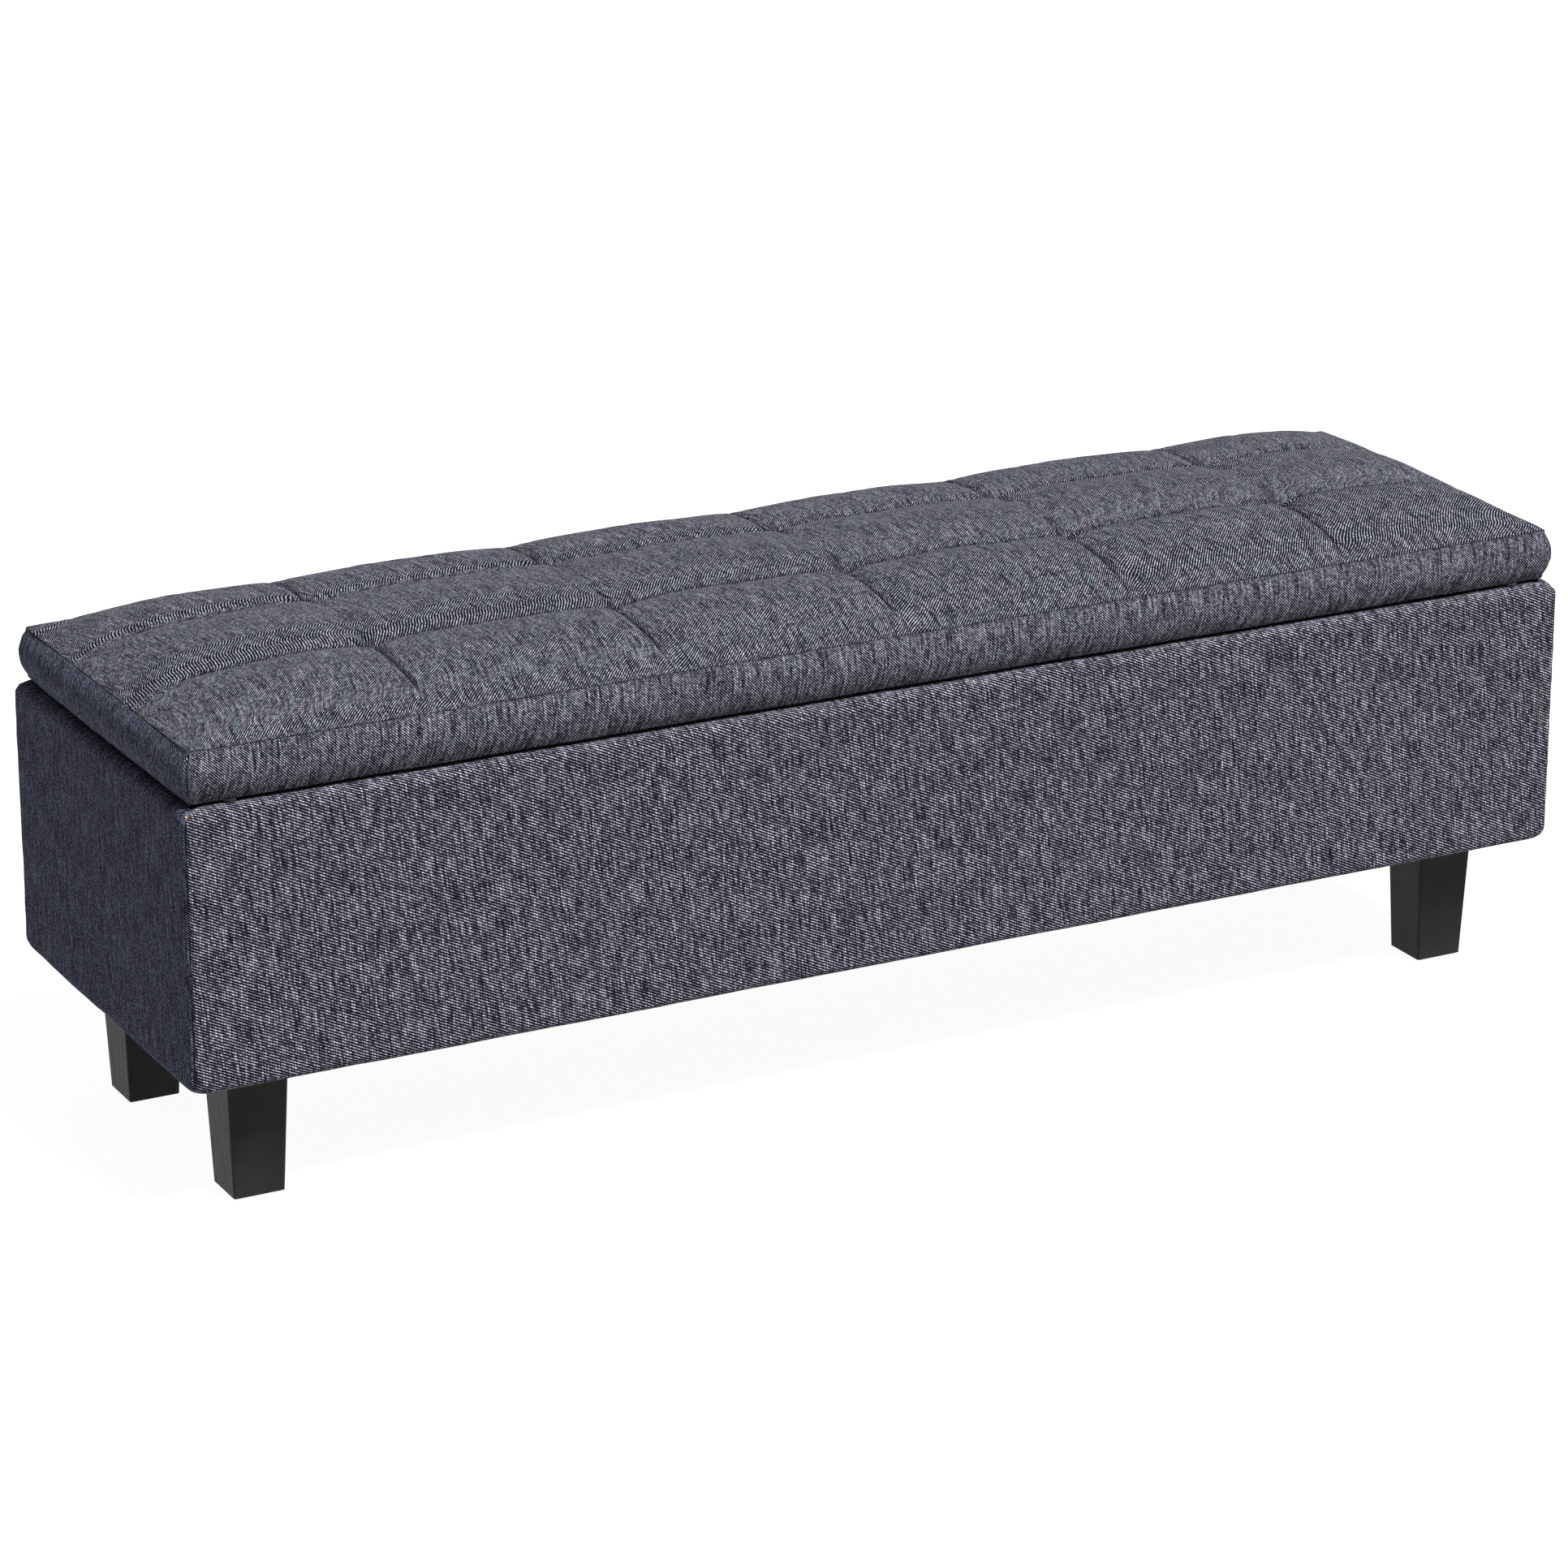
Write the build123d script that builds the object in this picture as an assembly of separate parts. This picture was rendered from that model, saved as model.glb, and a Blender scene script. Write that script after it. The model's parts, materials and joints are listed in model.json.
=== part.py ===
from build123d import *
import os
from math import cos, radians, sin

# An upholstered storage bench: a padded box on four tapered legs, with a cushioned lid on two butt
# hinges at the back and a slotted support stay at each end. Millimetres, +Z up, +X along the bench,
# -Y towards the front. The origin is on the floor under the middle of the bench.

# ---- Driving dimensions ----
bench_length = 1300.0
bench_depth = 380.0
leg_height = 120.0            # floor to the underside of the box
box_height = 240.0            # underside to the top edge of the box
lid_gap = 3.0                 # daylight between the box and the closed lid
lid_band_height = 44.0        # straight side of the lid, up to its top seam
lid_crown = 37.0              # rise of the cushion above its top seam

panel_thickness = 16.0
cover_thickness = 4.0         # fabric and wadding outside the boards
cover_top_radius = 10.0
cover_bottom_radius = 8.0
cover_corner_radius = 5.0     # upright corners of the box
flap_thickness = 1.0          # cover fabric turned down inside the box
flap_drop = 24.0
lining_thickness = 0.8
dust_cover_thickness = 0.8
fit_gap = 0.5                 # around a board that drops between others

batten_width = 20.0
batten_height = 20.0
rail_width = 60.0
floor_thickness = 12.0
leg_block_size = 100.0

leg_foot_width = 45.0
leg_top_width = 54.5
leg_inset = 52.5              # face of the box to the face of the foot
leg_edge_radius = 2.5
glide_radius = 12.0
glide_thickness = 2.5
glide_nail_radius = 1.5
glide_nail_length = 12.0

hanger_bolt_radius = 4.0
hanger_bolt_length = 62.0
tee_nut_barrel_radius = 5.0
tee_nut_flange_radius = 11.0
tee_nut_flange_thickness = 1.5
tee_nut_depth = 14.0
running_clearance = 0.05      # radial, between a pin or shank and its hole

lid_board_thickness = 15.0
lid_waist_inset = 9.0         # how far the lid's band pulls in at its bottom and at its top seam
lid_board_inset = 12.0
lid_flap_width = 23.0
lid_flap_thickness = 1.2
lid_cover_thickness = 3.0
crown_shoulder = 40.0         # plan width over which the cushion's edge rounds over
crown_fall = 9.0              # from the cushion's crest down to its shoulder
crown_end_rise = 6.0          # how much higher the lengthwise crest line may arch
tuft_columns = 5
tuft_rows = 2
tuft_depth = 16.0             # how far a tuft is pulled below the crest of the cushion
tie_radius = 0.9
tie_washer_radius = 5.0
bumper_radius = 6.0
bumper_air = 0.3              # between a bumper and the box when the lid is closed

hinge_spacing = 800.0
hinge_length = 60.0
hinge_leaf_thickness = 1.2
hinge_leaf_width = 11.4
hinge_knuckle_radius = 3.0
hinge_pin_radius = 1.5
hinge_knuckles = 5
hinge_setback = 4.0           # back face of the box to the hinge axis
knuckle_air = 0.2             # end to end, between neighbouring knuckles
leaf_air = 0.6                # between a leaf's plate and the other leaf's knuckles
hinge_screw_end = 8.0         # end of a leaf to its outer screws
hinge_screw_edge = 4.5        # front edge of a leaf to its screws

screw_radius = 1.75
screw_head_radius = 3.4
screw_head_height = 1.8
short_screw_length = 12.0
panel_screw_radius = 2.5
panel_screw_head_radius = 5.0
panel_screw_head_height = 3.0
panel_screw_length = 50.0
panel_screw_margin = 44.0     # top or bottom edge of a board to its screws

bracket_flange = 24.0
bracket_height = 70.0
bracket_thickness = 2.0
bracket_screw_edge = 9.0      # edge of a flange to its screws

lid_open_angle = 95.0         # degrees
stay_pivot_angle = -7.0       # lid pivot seen from the hinge, degrees above straight forward
stay_stud_angle = -23.0       # box stud seen from the hinge
stay_floor_air = 24.0         # tip of the folded arm to the floor of the well
stay_thickness = 2.0
stay_arm_width = 18.0
stay_pin_radius = 3.0
stay_head_radius = 5.5
stay_head_height = 1.4
stay_slot_clearance = 0.4     # radial, between the stud and its slot
stay_arm_end = 9.0            # metal beyond the slot's end
stay_plate_width = 36.0
stay_plate_length = 52.0
stay_flange_length = 50.0
stay_flange_width = 20.0
stay_flange_screw_spread = 30.0
stay_screw_air = 1.2          # between the wall plate's screw heads and the arm
stay_bracket_air = 2.0        # between the arm and the lid bracket
stay_washer_air = 0.1         # each side of the arm on its pivot
stay_stud_air = 0.3           # each side of the arm on the stud
stay_stud_edge = 10.0         # top edge of the wall plate to the stud
stay_boss_root = 1.0          # how deep a boss is rooted in its plate

staple_length = 10.0
staple_wire = 0.7
staples_along = 9
staples_across = 3

# ---- Worked-out sizes ----
half_length = bench_length / 2
half_depth = bench_depth / 2
box_bottom = leg_height
box_top = box_bottom + box_height
board_bottom = box_bottom + cover_thickness
board_top = box_top - cover_thickness
flap_bottom = box_top - cover_thickness - flap_drop
lid_bottom = box_top + lid_gap
lid_seam = lid_bottom + lid_band_height
overall_height = lid_seam + lid_crown
lid_board_bottom = lid_bottom + lining_thickness + lid_flap_thickness
lid_board_top = lid_board_bottom + lid_board_thickness

board_x, board_y = half_length - cover_thickness, half_depth - cover_thickness
well_x, well_y = board_x - panel_thickness, board_y - panel_thickness
lined_x, lined_y = well_x - lining_thickness, well_y - lining_thickness
flap_x = well_x - flap_thickness

floor_bottom = board_bottom + batten_height
floor_top = floor_bottom + floor_thickness
floor_lined = floor_top + lining_thickness

leg_x = half_length - leg_inset - leg_foot_width / 2
leg_y = half_depth - leg_inset - leg_foot_width / 2
leg_top = board_bottom - dust_cover_thickness
bolt_top = floor_bottom - tee_nut_flange_thickness - 2
bolt_bottom = bolt_top - hanger_bolt_length

hinge_y = half_depth - hinge_setback
hinge_z = box_top + lid_gap / 2
leaf_back = hinge_y - hinge_knuckle_radius - leaf_air
hinge_screw_y = leaf_back - hinge_leaf_width + hinge_screw_edge

reach_down = hinge_z - floor_lined - stay_floor_air
slot_end_gap = stay_pin_radius + stay_slot_clearance  # also half the slot's width
stay_angle_closed = (stay_pivot_angle + stay_stud_angle) / 2 - 90
stay_half_span = (lid_open_angle + stay_pivot_angle - stay_stud_angle) / 2
stay_radius = (reach_down - slot_end_gap - stay_arm_end) / (
    2 * sin(radians(stay_half_span)) * -sin(radians(stay_angle_closed)) - sin(radians(stay_pivot_angle))
)
slot_start = 2 * stay_radius * sin(radians((stay_pivot_angle - stay_stud_angle) / 2))
slot_end = 2 * stay_radius * sin(radians(stay_half_span))

stay_wall_x = flap_x
stay_arm_x = stay_wall_x - stay_thickness - screw_head_height - stay_screw_air
stay_bracket_x = stay_arm_x - stay_thickness - stay_bracket_air - stay_thickness

# Outward direction of each side of the bench.
SIDES = {"front": (0, -1, 0), "back": (0, 1, 0), "left_end": (-1, 0, 0), "right_end": (1, 0, 0)}
CORNERS = {
    "front_left": (-1, -1), "front_right": (1, -1), "back_left": (-1, 1), "back_right": (1, 1),
}
nodes = {}


# ---- Shared shapes ----
def block(x, y, z):
    """A box between two limits, (low, high), on each axis."""
    size = [high - low for low, high in (x, y, z)]
    middle = [(low + high) / 2 for low, high in (x, y, z)]
    return Pos(*middle) * Box(*size)


def rod(start, direction, length, radius, end_radius=None):
    """A cylinder, or a cone where end_radius is given, from a point along a direction."""
    place = Plane(origin=start, z_dir=direction).location
    base = (Align.CENTER, Align.CENTER, Align.MIN)
    if end_radius is None:
        return place * Cylinder(radius, length, align=base)
    return place * Cone(radius, end_radius, length, align=base)


def group(solids):
    """Several separate solids as one node."""
    return Compound(children=[part.solid() for part in solids])


def mirrored(part):
    """The same piece at the other end of the bench."""
    return mirror(part, about=Plane.YZ)


def round_vertex(face, at, radius):
    """Rounds the corner of a flat face that lies nearest a point."""
    corner = face.vertices().sort_by_distance(at)[0]
    return fillet(corner, radius)


def side_half(side):
    """Half of the bench's size towards a side."""
    return half_depth if side in ("front", "back") else half_length


def mitre_sector(side):
    """The plan of one side up to the 45 degree lines from its corners, as an upright prism."""
    reach = 5.0
    x, y = half_length + reach, half_depth + reach
    ridge = x - y
    plans = {
        "front": [(-x, -y), (x, -y), (ridge, 0), (-ridge, 0)],
        "back": [(-x, y), (-ridge, 0), (ridge, 0), (x, y)],
        "left_end": [(-x, -y), (-ridge, 0), (-x, y)],
        "right_end": [(x, -y), (x, y), (ridge, 0)],
    }
    outline = make_face(Polyline(*plans[side], close=True))
    return extrude(outline, overall_height, dir=(0, 0, 1))


def side_piece(side, section):
    """A section of (distance outwards, height) run along one side and mitred at its corners."""
    outwards = Vector(*SIDES[side])
    plane = Plane(origin=(0, 0, 0), x_dir=outwards, z_dir=outwards.cross(Vector(0, 0, 1)))
    run = extrude(plane * section, half_length + half_depth, both=True)
    return run & mitre_sector(side)


def screw(at, direction, length, radius=screw_radius, head=screw_head_radius,
          head_height=screw_head_height, countersunk=False):
    """A screw whose head bears at a point, or lies flush below it where countersunk."""
    into = Vector(*direction)
    if countersunk:
        return rod(at, into, head_height, head, radius) + rod(at, into, length, radius)
    top = Vector(*at) - into * head_height
    return rod(top, into, head_height, head * 0.8, head) + rod(at, into, length, radius)


def screw_hole(at, direction, length, radius=screw_radius):
    """The hole that a screw of the same place and length goes through."""
    return rod(at, direction, length + 1.0, radius + running_clearance)


def corner_places(x, y):
    """The four corners at a distance either side of the middle."""
    return [(sx * x, sy * y) for sx, sy in CORNERS.values()]


# ---- Where the fasteners go ----
def hinge_screw_places():
    """Plan positions of the screws of both hinges."""
    spread = hinge_length / 2 - hinge_screw_end
    return [(side * hinge_spacing / 2 + step * spread, hinge_screw_y)
            for side in (-1, 1) for step in (-1, 0, 1)]


def bracket_screws():
    """Each corner bracket screw as (head position, direction)."""
    face_x, face_y = lined_x - bracket_thickness, lined_y - bracket_thickness
    step = bracket_flange - bracket_screw_edge
    middle = (floor_top + box_top) / 2
    places = []
    for sx, sy in CORNERS.values():
        for dz in (-bracket_height / 4, bracket_height / 4):
            z = middle + dz
            places.append(((sx * face_x, sy * (lined_y - step), z), (sx, 0, 0)))
            places.append(((sx * (lined_x - step), sy * face_y, z), (0, sy, 0)))
    return places


def panel_screws():
    """Each screw through a long board into the edge of an end board."""
    heights = (board_bottom + panel_screw_margin, board_top - panel_screw_margin)
    x = well_x + panel_thickness / 2
    return [((sx * x, sy * board_y, z), (0, -sy, 0)) for sx, sy in CORNERS.values() for z in heights]


def stay_point(angle):
    """A pivot of the stays at an angle from the hinge axis, as (forward, up)."""
    return stay_radius * cos(radians(angle)), stay_radius * sin(radians(angle))


def stay_wall_screws():
    """Screws of one stay's wall plate, as (head position, direction), at the right end."""
    forward, up = stay_point(stay_stud_angle)
    face = stay_wall_x - stay_thickness
    return [((face, hinge_y - forward - dy, hinge_z + up + dz), (1, 0, 0))
            for dy, dz in ((-10, -18), (10, -18), (0, -32))]


def stay_flange_screws():
    """Screws of one stay's lid bracket, as (head position, direction), at the right end."""
    forward = stay_point(stay_pivot_angle)[0]
    x = stay_bracket_x + stay_thickness - (stay_flange_width + stay_thickness + screw_head_radius) / 2
    return [((x, hinge_y - forward + dy, lid_bottom - stay_thickness), (0, 0, 1))
            for dy in (-stay_flange_screw_spread / 2, stay_flange_screw_spread / 2)]


def both_ends(places):
    """Screw places at the right end, and the same at the left end."""
    flipped = [((-at[0], at[1], at[2]), (-way[0], way[1], way[2])) for at, way in places]
    return places + flipped


def bottom_screw_places():
    """Plan positions of the screws that hold the floor of the well to its battens."""
    y = well_y - batten_width / 2
    return [(x * well_x, sy * y) for x in (-0.6, -0.25, 0.25, 0.6) for sy in (-1, 1)]


def tuft_places():
    """Plan positions of the tufts: the crossings of a grid of equal puffs."""
    pitch_x = bench_length / (tuft_columns + 1)
    pitch_y = bench_depth / (tuft_rows + 1)
    return [((column - (tuft_columns - 1) / 2) * pitch_x, (row - (tuft_rows - 1) / 2) * pitch_y)
            for row in range(tuft_rows) for column in range(tuft_columns)]


# ---- Boards of the box ----
def make_panels():
    long_screws = [screw_hole(at, way, panel_screw_length, panel_screw_radius)
                   for at, way in panel_screws()]
    heads = [rod(at, way, panel_screw_head_height, panel_screw_head_radius + running_clearance,
                 panel_screw_radius + running_clearance) for at, way in panel_screws()]
    short_screws = [screw_hole(at, way, short_screw_length) for at, way in bracket_screws()]
    stay_screws = [screw_hole(at, way, short_screw_length) for at, way in both_ends(stay_wall_screws())]
    hinge_screws = [screw_hole((x, y, box_top + hinge_leaf_thickness), (0, 0, -1),
                               short_screw_length + cover_thickness)
                    for x, y in hinge_screw_places()]
    z = (board_bottom, board_top)
    front = block((-board_x, board_x), (-board_y, -well_y), z)
    back = block((-board_x, board_x), (well_y, board_y), z)
    right = block((well_x, board_x), (-well_y, well_y), z)
    nodes["front_panel"] = front - (long_screws + heads + short_screws)
    nodes["back_panel"] = back - (long_screws + heads + short_screws + hinge_screws)
    nodes["right_end_panel"] = right - (long_screws + short_screws + stay_screws)
    nodes["left_end_panel"] = mirrored(right) - (long_screws + short_screws + stay_screws)
    nodes["panel_screws"] = group([
        screw(at, way, panel_screw_length, panel_screw_radius, panel_screw_head_radius,
              panel_screw_head_height, countersunk=True) for at, way in panel_screws()])


def make_floor():
    z = (board_bottom, floor_bottom)
    batten_x = well_x - leg_block_size
    batten = block((-batten_x, batten_x), (-well_y, batten_width - well_y), z)
    rail_y = well_y - batten_width
    places = bottom_screw_places()
    holes = [screw_hole((x, y, floor_top), (0, 0, -1), 2 * short_screw_length) for x, y in places]
    sinks = [rod((x, y, floor_top), (0, 0, -1), screw_head_height, screw_head_radius + running_clearance,
                 screw_radius + running_clearance) for x, y in places]
    nodes["front_batten"] = batten - holes
    nodes["back_batten"] = mirror(batten, about=Plane.XZ) - holes
    nodes["center_rail"] = block((-rail_width / 2, rail_width / 2), (-rail_y, rail_y), z)
    nodes["bottom_panel"] = block(
        (fit_gap - well_x, well_x - fit_gap), (fit_gap - well_y, well_y - fit_gap),
        (floor_bottom, floor_top)) - (holes + sinks)
    nodes["bottom_panel_screws"] = group([
        screw((x, y, floor_top), (0, 0, -1), 2 * short_screw_length, countersunk=True) for x, y in places])


# ---- Legs and what fastens them ----
def make_leg_fixings():
    recess = tee_nut_flange_thickness
    blocks, bolts, nuts, glides = [], [], [], []
    for sx, sy in CORNERS.values():
        x, y = sx * leg_x, sy * leg_y
        corner_x, corner_y = sx * (well_x - leg_block_size / 2), sy * (well_y - leg_block_size / 2)
        timber = Pos(corner_x, corner_y, (board_bottom + floor_bottom) / 2) * Box(
            leg_block_size, leg_block_size, batten_height)
        timber -= rod((x, y, board_bottom - 1), (0, 0, 1), batten_height + 2,
                      tee_nut_barrel_radius + running_clearance)
        timber -= rod((x, y, floor_bottom - recess), (0, 0, 1), recess + 1,
                      tee_nut_flange_radius + running_clearance)
        blocks.append(timber)
        nut = rod((x, y, floor_bottom), (0, 0, -1), recess, tee_nut_flange_radius)
        nut += rod((x, y, floor_bottom), (0, 0, -1), tee_nut_depth, tee_nut_barrel_radius)
        nut -= rod((x, y, floor_bottom + 1), (0, 0, -1), tee_nut_depth + 2,
                   hanger_bolt_radius + running_clearance)
        nuts.append(nut)
        bolts.append(rod((x, y, bolt_bottom), (0, 0, 1), hanger_bolt_length, hanger_bolt_radius))
        glide = rod((x, y, 0), (0, 0, 1), glide_thickness, glide_radius * 0.9, glide_radius)
        glide += rod((x, y, glide_thickness), (0, 0, 1), glide_nail_length, glide_nail_radius,
                     glide_nail_radius * 0.4)
        glides.append(glide)
    nodes["leg_blocks"] = group(blocks)
    nodes["leg_hanger_bolts"] = group(bolts)
    nodes["leg_tee_nuts"] = group(nuts)
    nodes["leg_glides"] = group(glides)


def make_legs():
    for corner, (sx, sy) in CORNERS.items():
        x, y = sx * leg_x, sy * leg_y
        foot = Pos(x, y, glide_thickness) * RectangleRounded(leg_foot_width, leg_foot_width, leg_edge_radius)
        top = Pos(x, y, leg_top) * RectangleRounded(leg_top_width, leg_top_width, leg_edge_radius)
        leg = loft([foot.face(), top.face()], ruled=True)
        leg -= rod((x, y, bolt_bottom - 1), (0, 0, 1), leg_top, hanger_bolt_radius + running_clearance)
        leg -= rod((x, y, glide_thickness - 1), (0, 0, 1), glide_nail_length + 2,
                   glide_nail_radius + running_clearance)
        nodes[f"{corner}_leg"] = leg


# ---- Upholstery of the box ----
def cover_section(half):
    """Section of the box cover: up the outside, over the top edge and down inside, and under."""
    board = half - cover_thickness
    inner = board - panel_thickness
    flap = inner - flap_thickness
    face = make_face(Polyline(
        (half, box_bottom), (half, box_top), (flap, box_top), (flap, flap_bottom), (inner, flap_bottom),
        (inner, board_top), (board, board_top), (board, board_bottom), (inner, board_bottom),
        (inner, box_bottom), close=True))
    face = round_vertex(face, (half, box_top, 0), cover_top_radius)
    return round_vertex(face, (half, box_bottom, 0), cover_bottom_radius)


def hinge_relief():
    """Room around both hinges' knuckles, to be cut from the fabric above and below."""
    radius = hinge_knuckle_radius + lining_thickness
    length = hinge_length + 4
    return [rod((side * hinge_spacing / 2 - length / 2, hinge_y, hinge_z), (1, 0, 0), length, radius)
            for side in (-1, 1)]


def make_box_covers():
    plan = extrude(RectangleRounded(bench_length, bench_depth, cover_corner_radius), overall_height,
                   dir=(0, 0, 1))
    hinge_holes = [screw_hole((x, y, box_top + hinge_leaf_thickness), (0, 0, -1),
                              short_screw_length + cover_thickness)
                   for x, y in hinge_screw_places()]
    wall_holes = [screw_hole(at, way, short_screw_length) for at, way in both_ends(stay_wall_screws())]
    cuts = {"front": [], "back": hinge_relief() + hinge_holes, "left_end": wall_holes,
            "right_end": wall_holes}
    for side in SIDES:
        cover = side_piece(side, cover_section(side_half(side))) & plan
        nodes[f"{side}_cover"] = cover - cuts[side] if cuts[side] else cover


def make_linings():
    z = (floor_lined, flap_bottom)
    holes = [screw_hole(at, way, short_screw_length)
             for at, way in bracket_screws() + both_ends(stay_wall_screws())]
    long_lining = block((-well_x, well_x), (-well_y, -lined_y), z)
    end_lining = block((lined_x, well_x), (-lined_y, lined_y), z)
    nodes["front_lining"] = long_lining - holes
    nodes["back_lining"] = mirror(long_lining, about=Plane.XZ) - holes
    nodes["right_end_lining"] = end_lining - holes
    nodes["left_end_lining"] = mirrored(end_lining) - holes
    nodes["floor_lining"] = block((-well_x, well_x), (-well_y, well_y), (floor_top, floor_lined))


def make_dust_cover():
    sheet = block((fit_gap - well_x, well_x - fit_gap), (fit_gap - well_y, well_y - fit_gap),
                  (board_bottom - dust_cover_thickness, board_bottom))
    bolt_holes = [rod((x, y, board_bottom - 5), (0, 0, 1), 10, hanger_bolt_radius + fit_gap)
                  for x, y in corner_places(leg_x, leg_y)]
    nodes["dust_cover"] = sheet - bolt_holes
    z = (leg_top - staple_wire, leg_top)
    edge_x, edge_y = well_x - 8, well_y - 8
    crowns = []
    for sy in (-1, 1):
        for step in range(staples_along):
            x = (step - (staples_along - 1) / 2) * 2 * edge_x / staples_along
            crowns.append(Pos(x, sy * edge_y, 0) * block(
                (-staple_length / 2, staple_length / 2), (-staple_wire / 2, staple_wire / 2), z))
    for sx in (-1, 1):
        for step in range(staples_across):
            y = (step - (staples_across - 1) / 2) * 2 * edge_y / staples_across
            crowns.append(Pos(sx * edge_x, y, 0) * block(
                (-staple_wire / 2, staple_wire / 2), (-staple_length / 2, staple_length / 2), z))
    nodes["dust_cover_staples"] = group(crowns)


def make_corner_brackets():
    z = ((floor_top + box_top) / 2 - bracket_height / 2, (floor_top + box_top) / 2 + bracket_height / 2)
    holes = [screw_hole(at, way, short_screw_length) for at, way in bracket_screws()]
    angles = []
    for sx, sy in CORNERS.values():
        outer_x, outer_y = sx * lined_x, sy * lined_y
        along_end = block(sorted((outer_x, outer_x - sx * bracket_thickness)),
                          sorted((outer_y, outer_y - sy * bracket_flange)), z)
        along_side = block(sorted((outer_x, outer_x - sx * bracket_flange)),
                           sorted((outer_y, outer_y - sy * bracket_thickness)), z)
        angles.append(along_end + along_side - holes)
    nodes["corner_brackets"] = group(angles)
    nodes["corner_bracket_screws"] = group([screw(at, way, short_screw_length)
                                            for at, way in bracket_screws()])


# ---- Lid ----
def lid_holes():
    """Everything that is drilled up into the lid's lining, flap and board."""
    screws = [screw_hole((x, y, lid_bottom - hinge_leaf_thickness), (0, 0, 1), short_screw_length)
              for x, y in hinge_screw_places()]
    screws += [screw_hole(at, way, short_screw_length) for at, way in both_ends(stay_flange_screws())]
    return screws


def band_section(half):
    """Section of the lid's side boxing, bulging between its waist and its top seam."""
    waist = half - lid_waist_inset
    board = half - lid_board_inset
    flap = board - lid_flap_width
    flap_low = lid_board_bottom - lid_flap_thickness
    bulge = ThreePointArc((waist, lid_bottom), (half, (lid_bottom + lid_seam) / 2), (waist, lid_seam))
    rest = Polyline((waist, lid_seam), (board, lid_seam), (board, lid_board_bottom),
                    (flap, lid_board_bottom), (flap, flap_low), (board, flap_low), (board, lid_bottom),
                    (waist, lid_bottom))
    return make_face([bulge, rest])


def crown(inset):
    """The cushion above the top seam, crowned both ways, with its surface inset."""
    rise = lid_crown - inset
    shoulder_rise = rise - crown_fall

    def profile(half, top_rise):
        edge = half - lid_waist_inset - inset
        inner = edge - crown_shoulder
        bend = sin(radians(45))
        hip = (edge - crown_shoulder * (1 - bend), lid_seam + shoulder_rise * bend)
        right = ThreePointArc((edge, lid_seam), hip, (inner, lid_seam + shoulder_rise))
        top = ThreePointArc((inner, lid_seam + shoulder_rise), (0, lid_seam + top_rise),
                            (-inner, lid_seam + shoulder_rise))
        left = ThreePointArc((-inner, lid_seam + shoulder_rise), (-hip[0], hip[1]), (-edge, lid_seam))
        return make_face([right, top, left, Line((-edge, lid_seam), (edge, lid_seam))])

    across = Plane(origin=(0, 0, 0), x_dir=(0, 1, 0), z_dir=(1, 0, 0)) * profile(half_depth, rise)
    along = Plane(origin=(0, 0, 0), x_dir=(1, 0, 0), z_dir=(0, -1, 0)) * profile(
        half_length, rise + crown_end_rise)
    return extrude(across, half_length, both=True) & extrude(along, half_depth, both=True)


def make_lid():
    holes = lid_holes()
    x, y = half_length - lid_board_inset, half_depth - lid_board_inset
    tie_top = overall_height - tuft_depth
    tie_bottom = lid_board_bottom - tie_radius
    tie_bore = tie_radius + running_clearance
    bores = [rod((px, py, tie_bottom), (0, 0, 1), tie_top - tie_bottom + fit_gap, tie_bore)
             for px, py in tuft_places()]
    board = block((-x, x), (-y, y), (lid_board_bottom, lid_board_top))
    nodes["lid_board"] = board - (holes + bores)
    inside = crown(lid_cover_thickness)
    foam = block((-x, x), (-y, y), (lid_board_top, lid_seam)) + inside
    nodes["lid_foam"] = foam - bores
    nodes["lid_top_cover"] = crown(0) - inside
    nodes["lid_lining"] = block((-x, x), (-y, y), (lid_bottom, lid_bottom + lining_thickness)) - holes
    relief = hinge_relief()
    for side in SIDES:
        band = side_piece(side, band_section(side_half(side)))
        nodes[f"lid_{side}_band"] = band - (relief + holes) if side == "back" else band
    nodes["lid_tuft_ties"] = group([
        rod((px, py, tie_bottom), (0, 0, 1), tie_top - tie_bottom, tie_radius)
        + rod((px, py, tie_bottom), (0, 0, 1), lid_board_bottom - tie_bottom, tie_washer_radius)
        for px, py in tuft_places()])
    bumper_x, bumper_y = well_x - bracket_flange, board_y - panel_thickness / 2
    nodes["lid_bumpers"] = group([
        rod((sx * bumper_x, -bumper_y, box_top + bumper_air), (0, 0, 1), lid_gap - bumper_air,
            bumper_radius * 0.85, bumper_radius) for sx in (-1, 1)])


# ---- Hinges ----
def hinge_leaf(centre, z_low, own_knuckles):
    """One leaf with its knuckles: a plate from the knuckles forward, drilled for its screws."""
    z = (z_low, z_low + hinge_leaf_thickness)
    leaf = block((centre - hinge_length / 2, centre + hinge_length / 2),
                 (leaf_back - hinge_leaf_width, leaf_back), z)
    pitch = hinge_length / hinge_knuckles
    for index in own_knuckles:
        x = centre - hinge_length / 2 + index * pitch + knuckle_air / 2
        leaf += block((x, x + pitch - knuckle_air), (leaf_back - leaf_air, hinge_y), z)
        leaf += rod((x, hinge_y, hinge_z), (1, 0, 0), pitch - knuckle_air, hinge_knuckle_radius)
    leaf -= rod((centre - hinge_length, hinge_y, hinge_z), (1, 0, 0), 2 * hinge_length,
                hinge_pin_radius + running_clearance)
    return leaf


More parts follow.
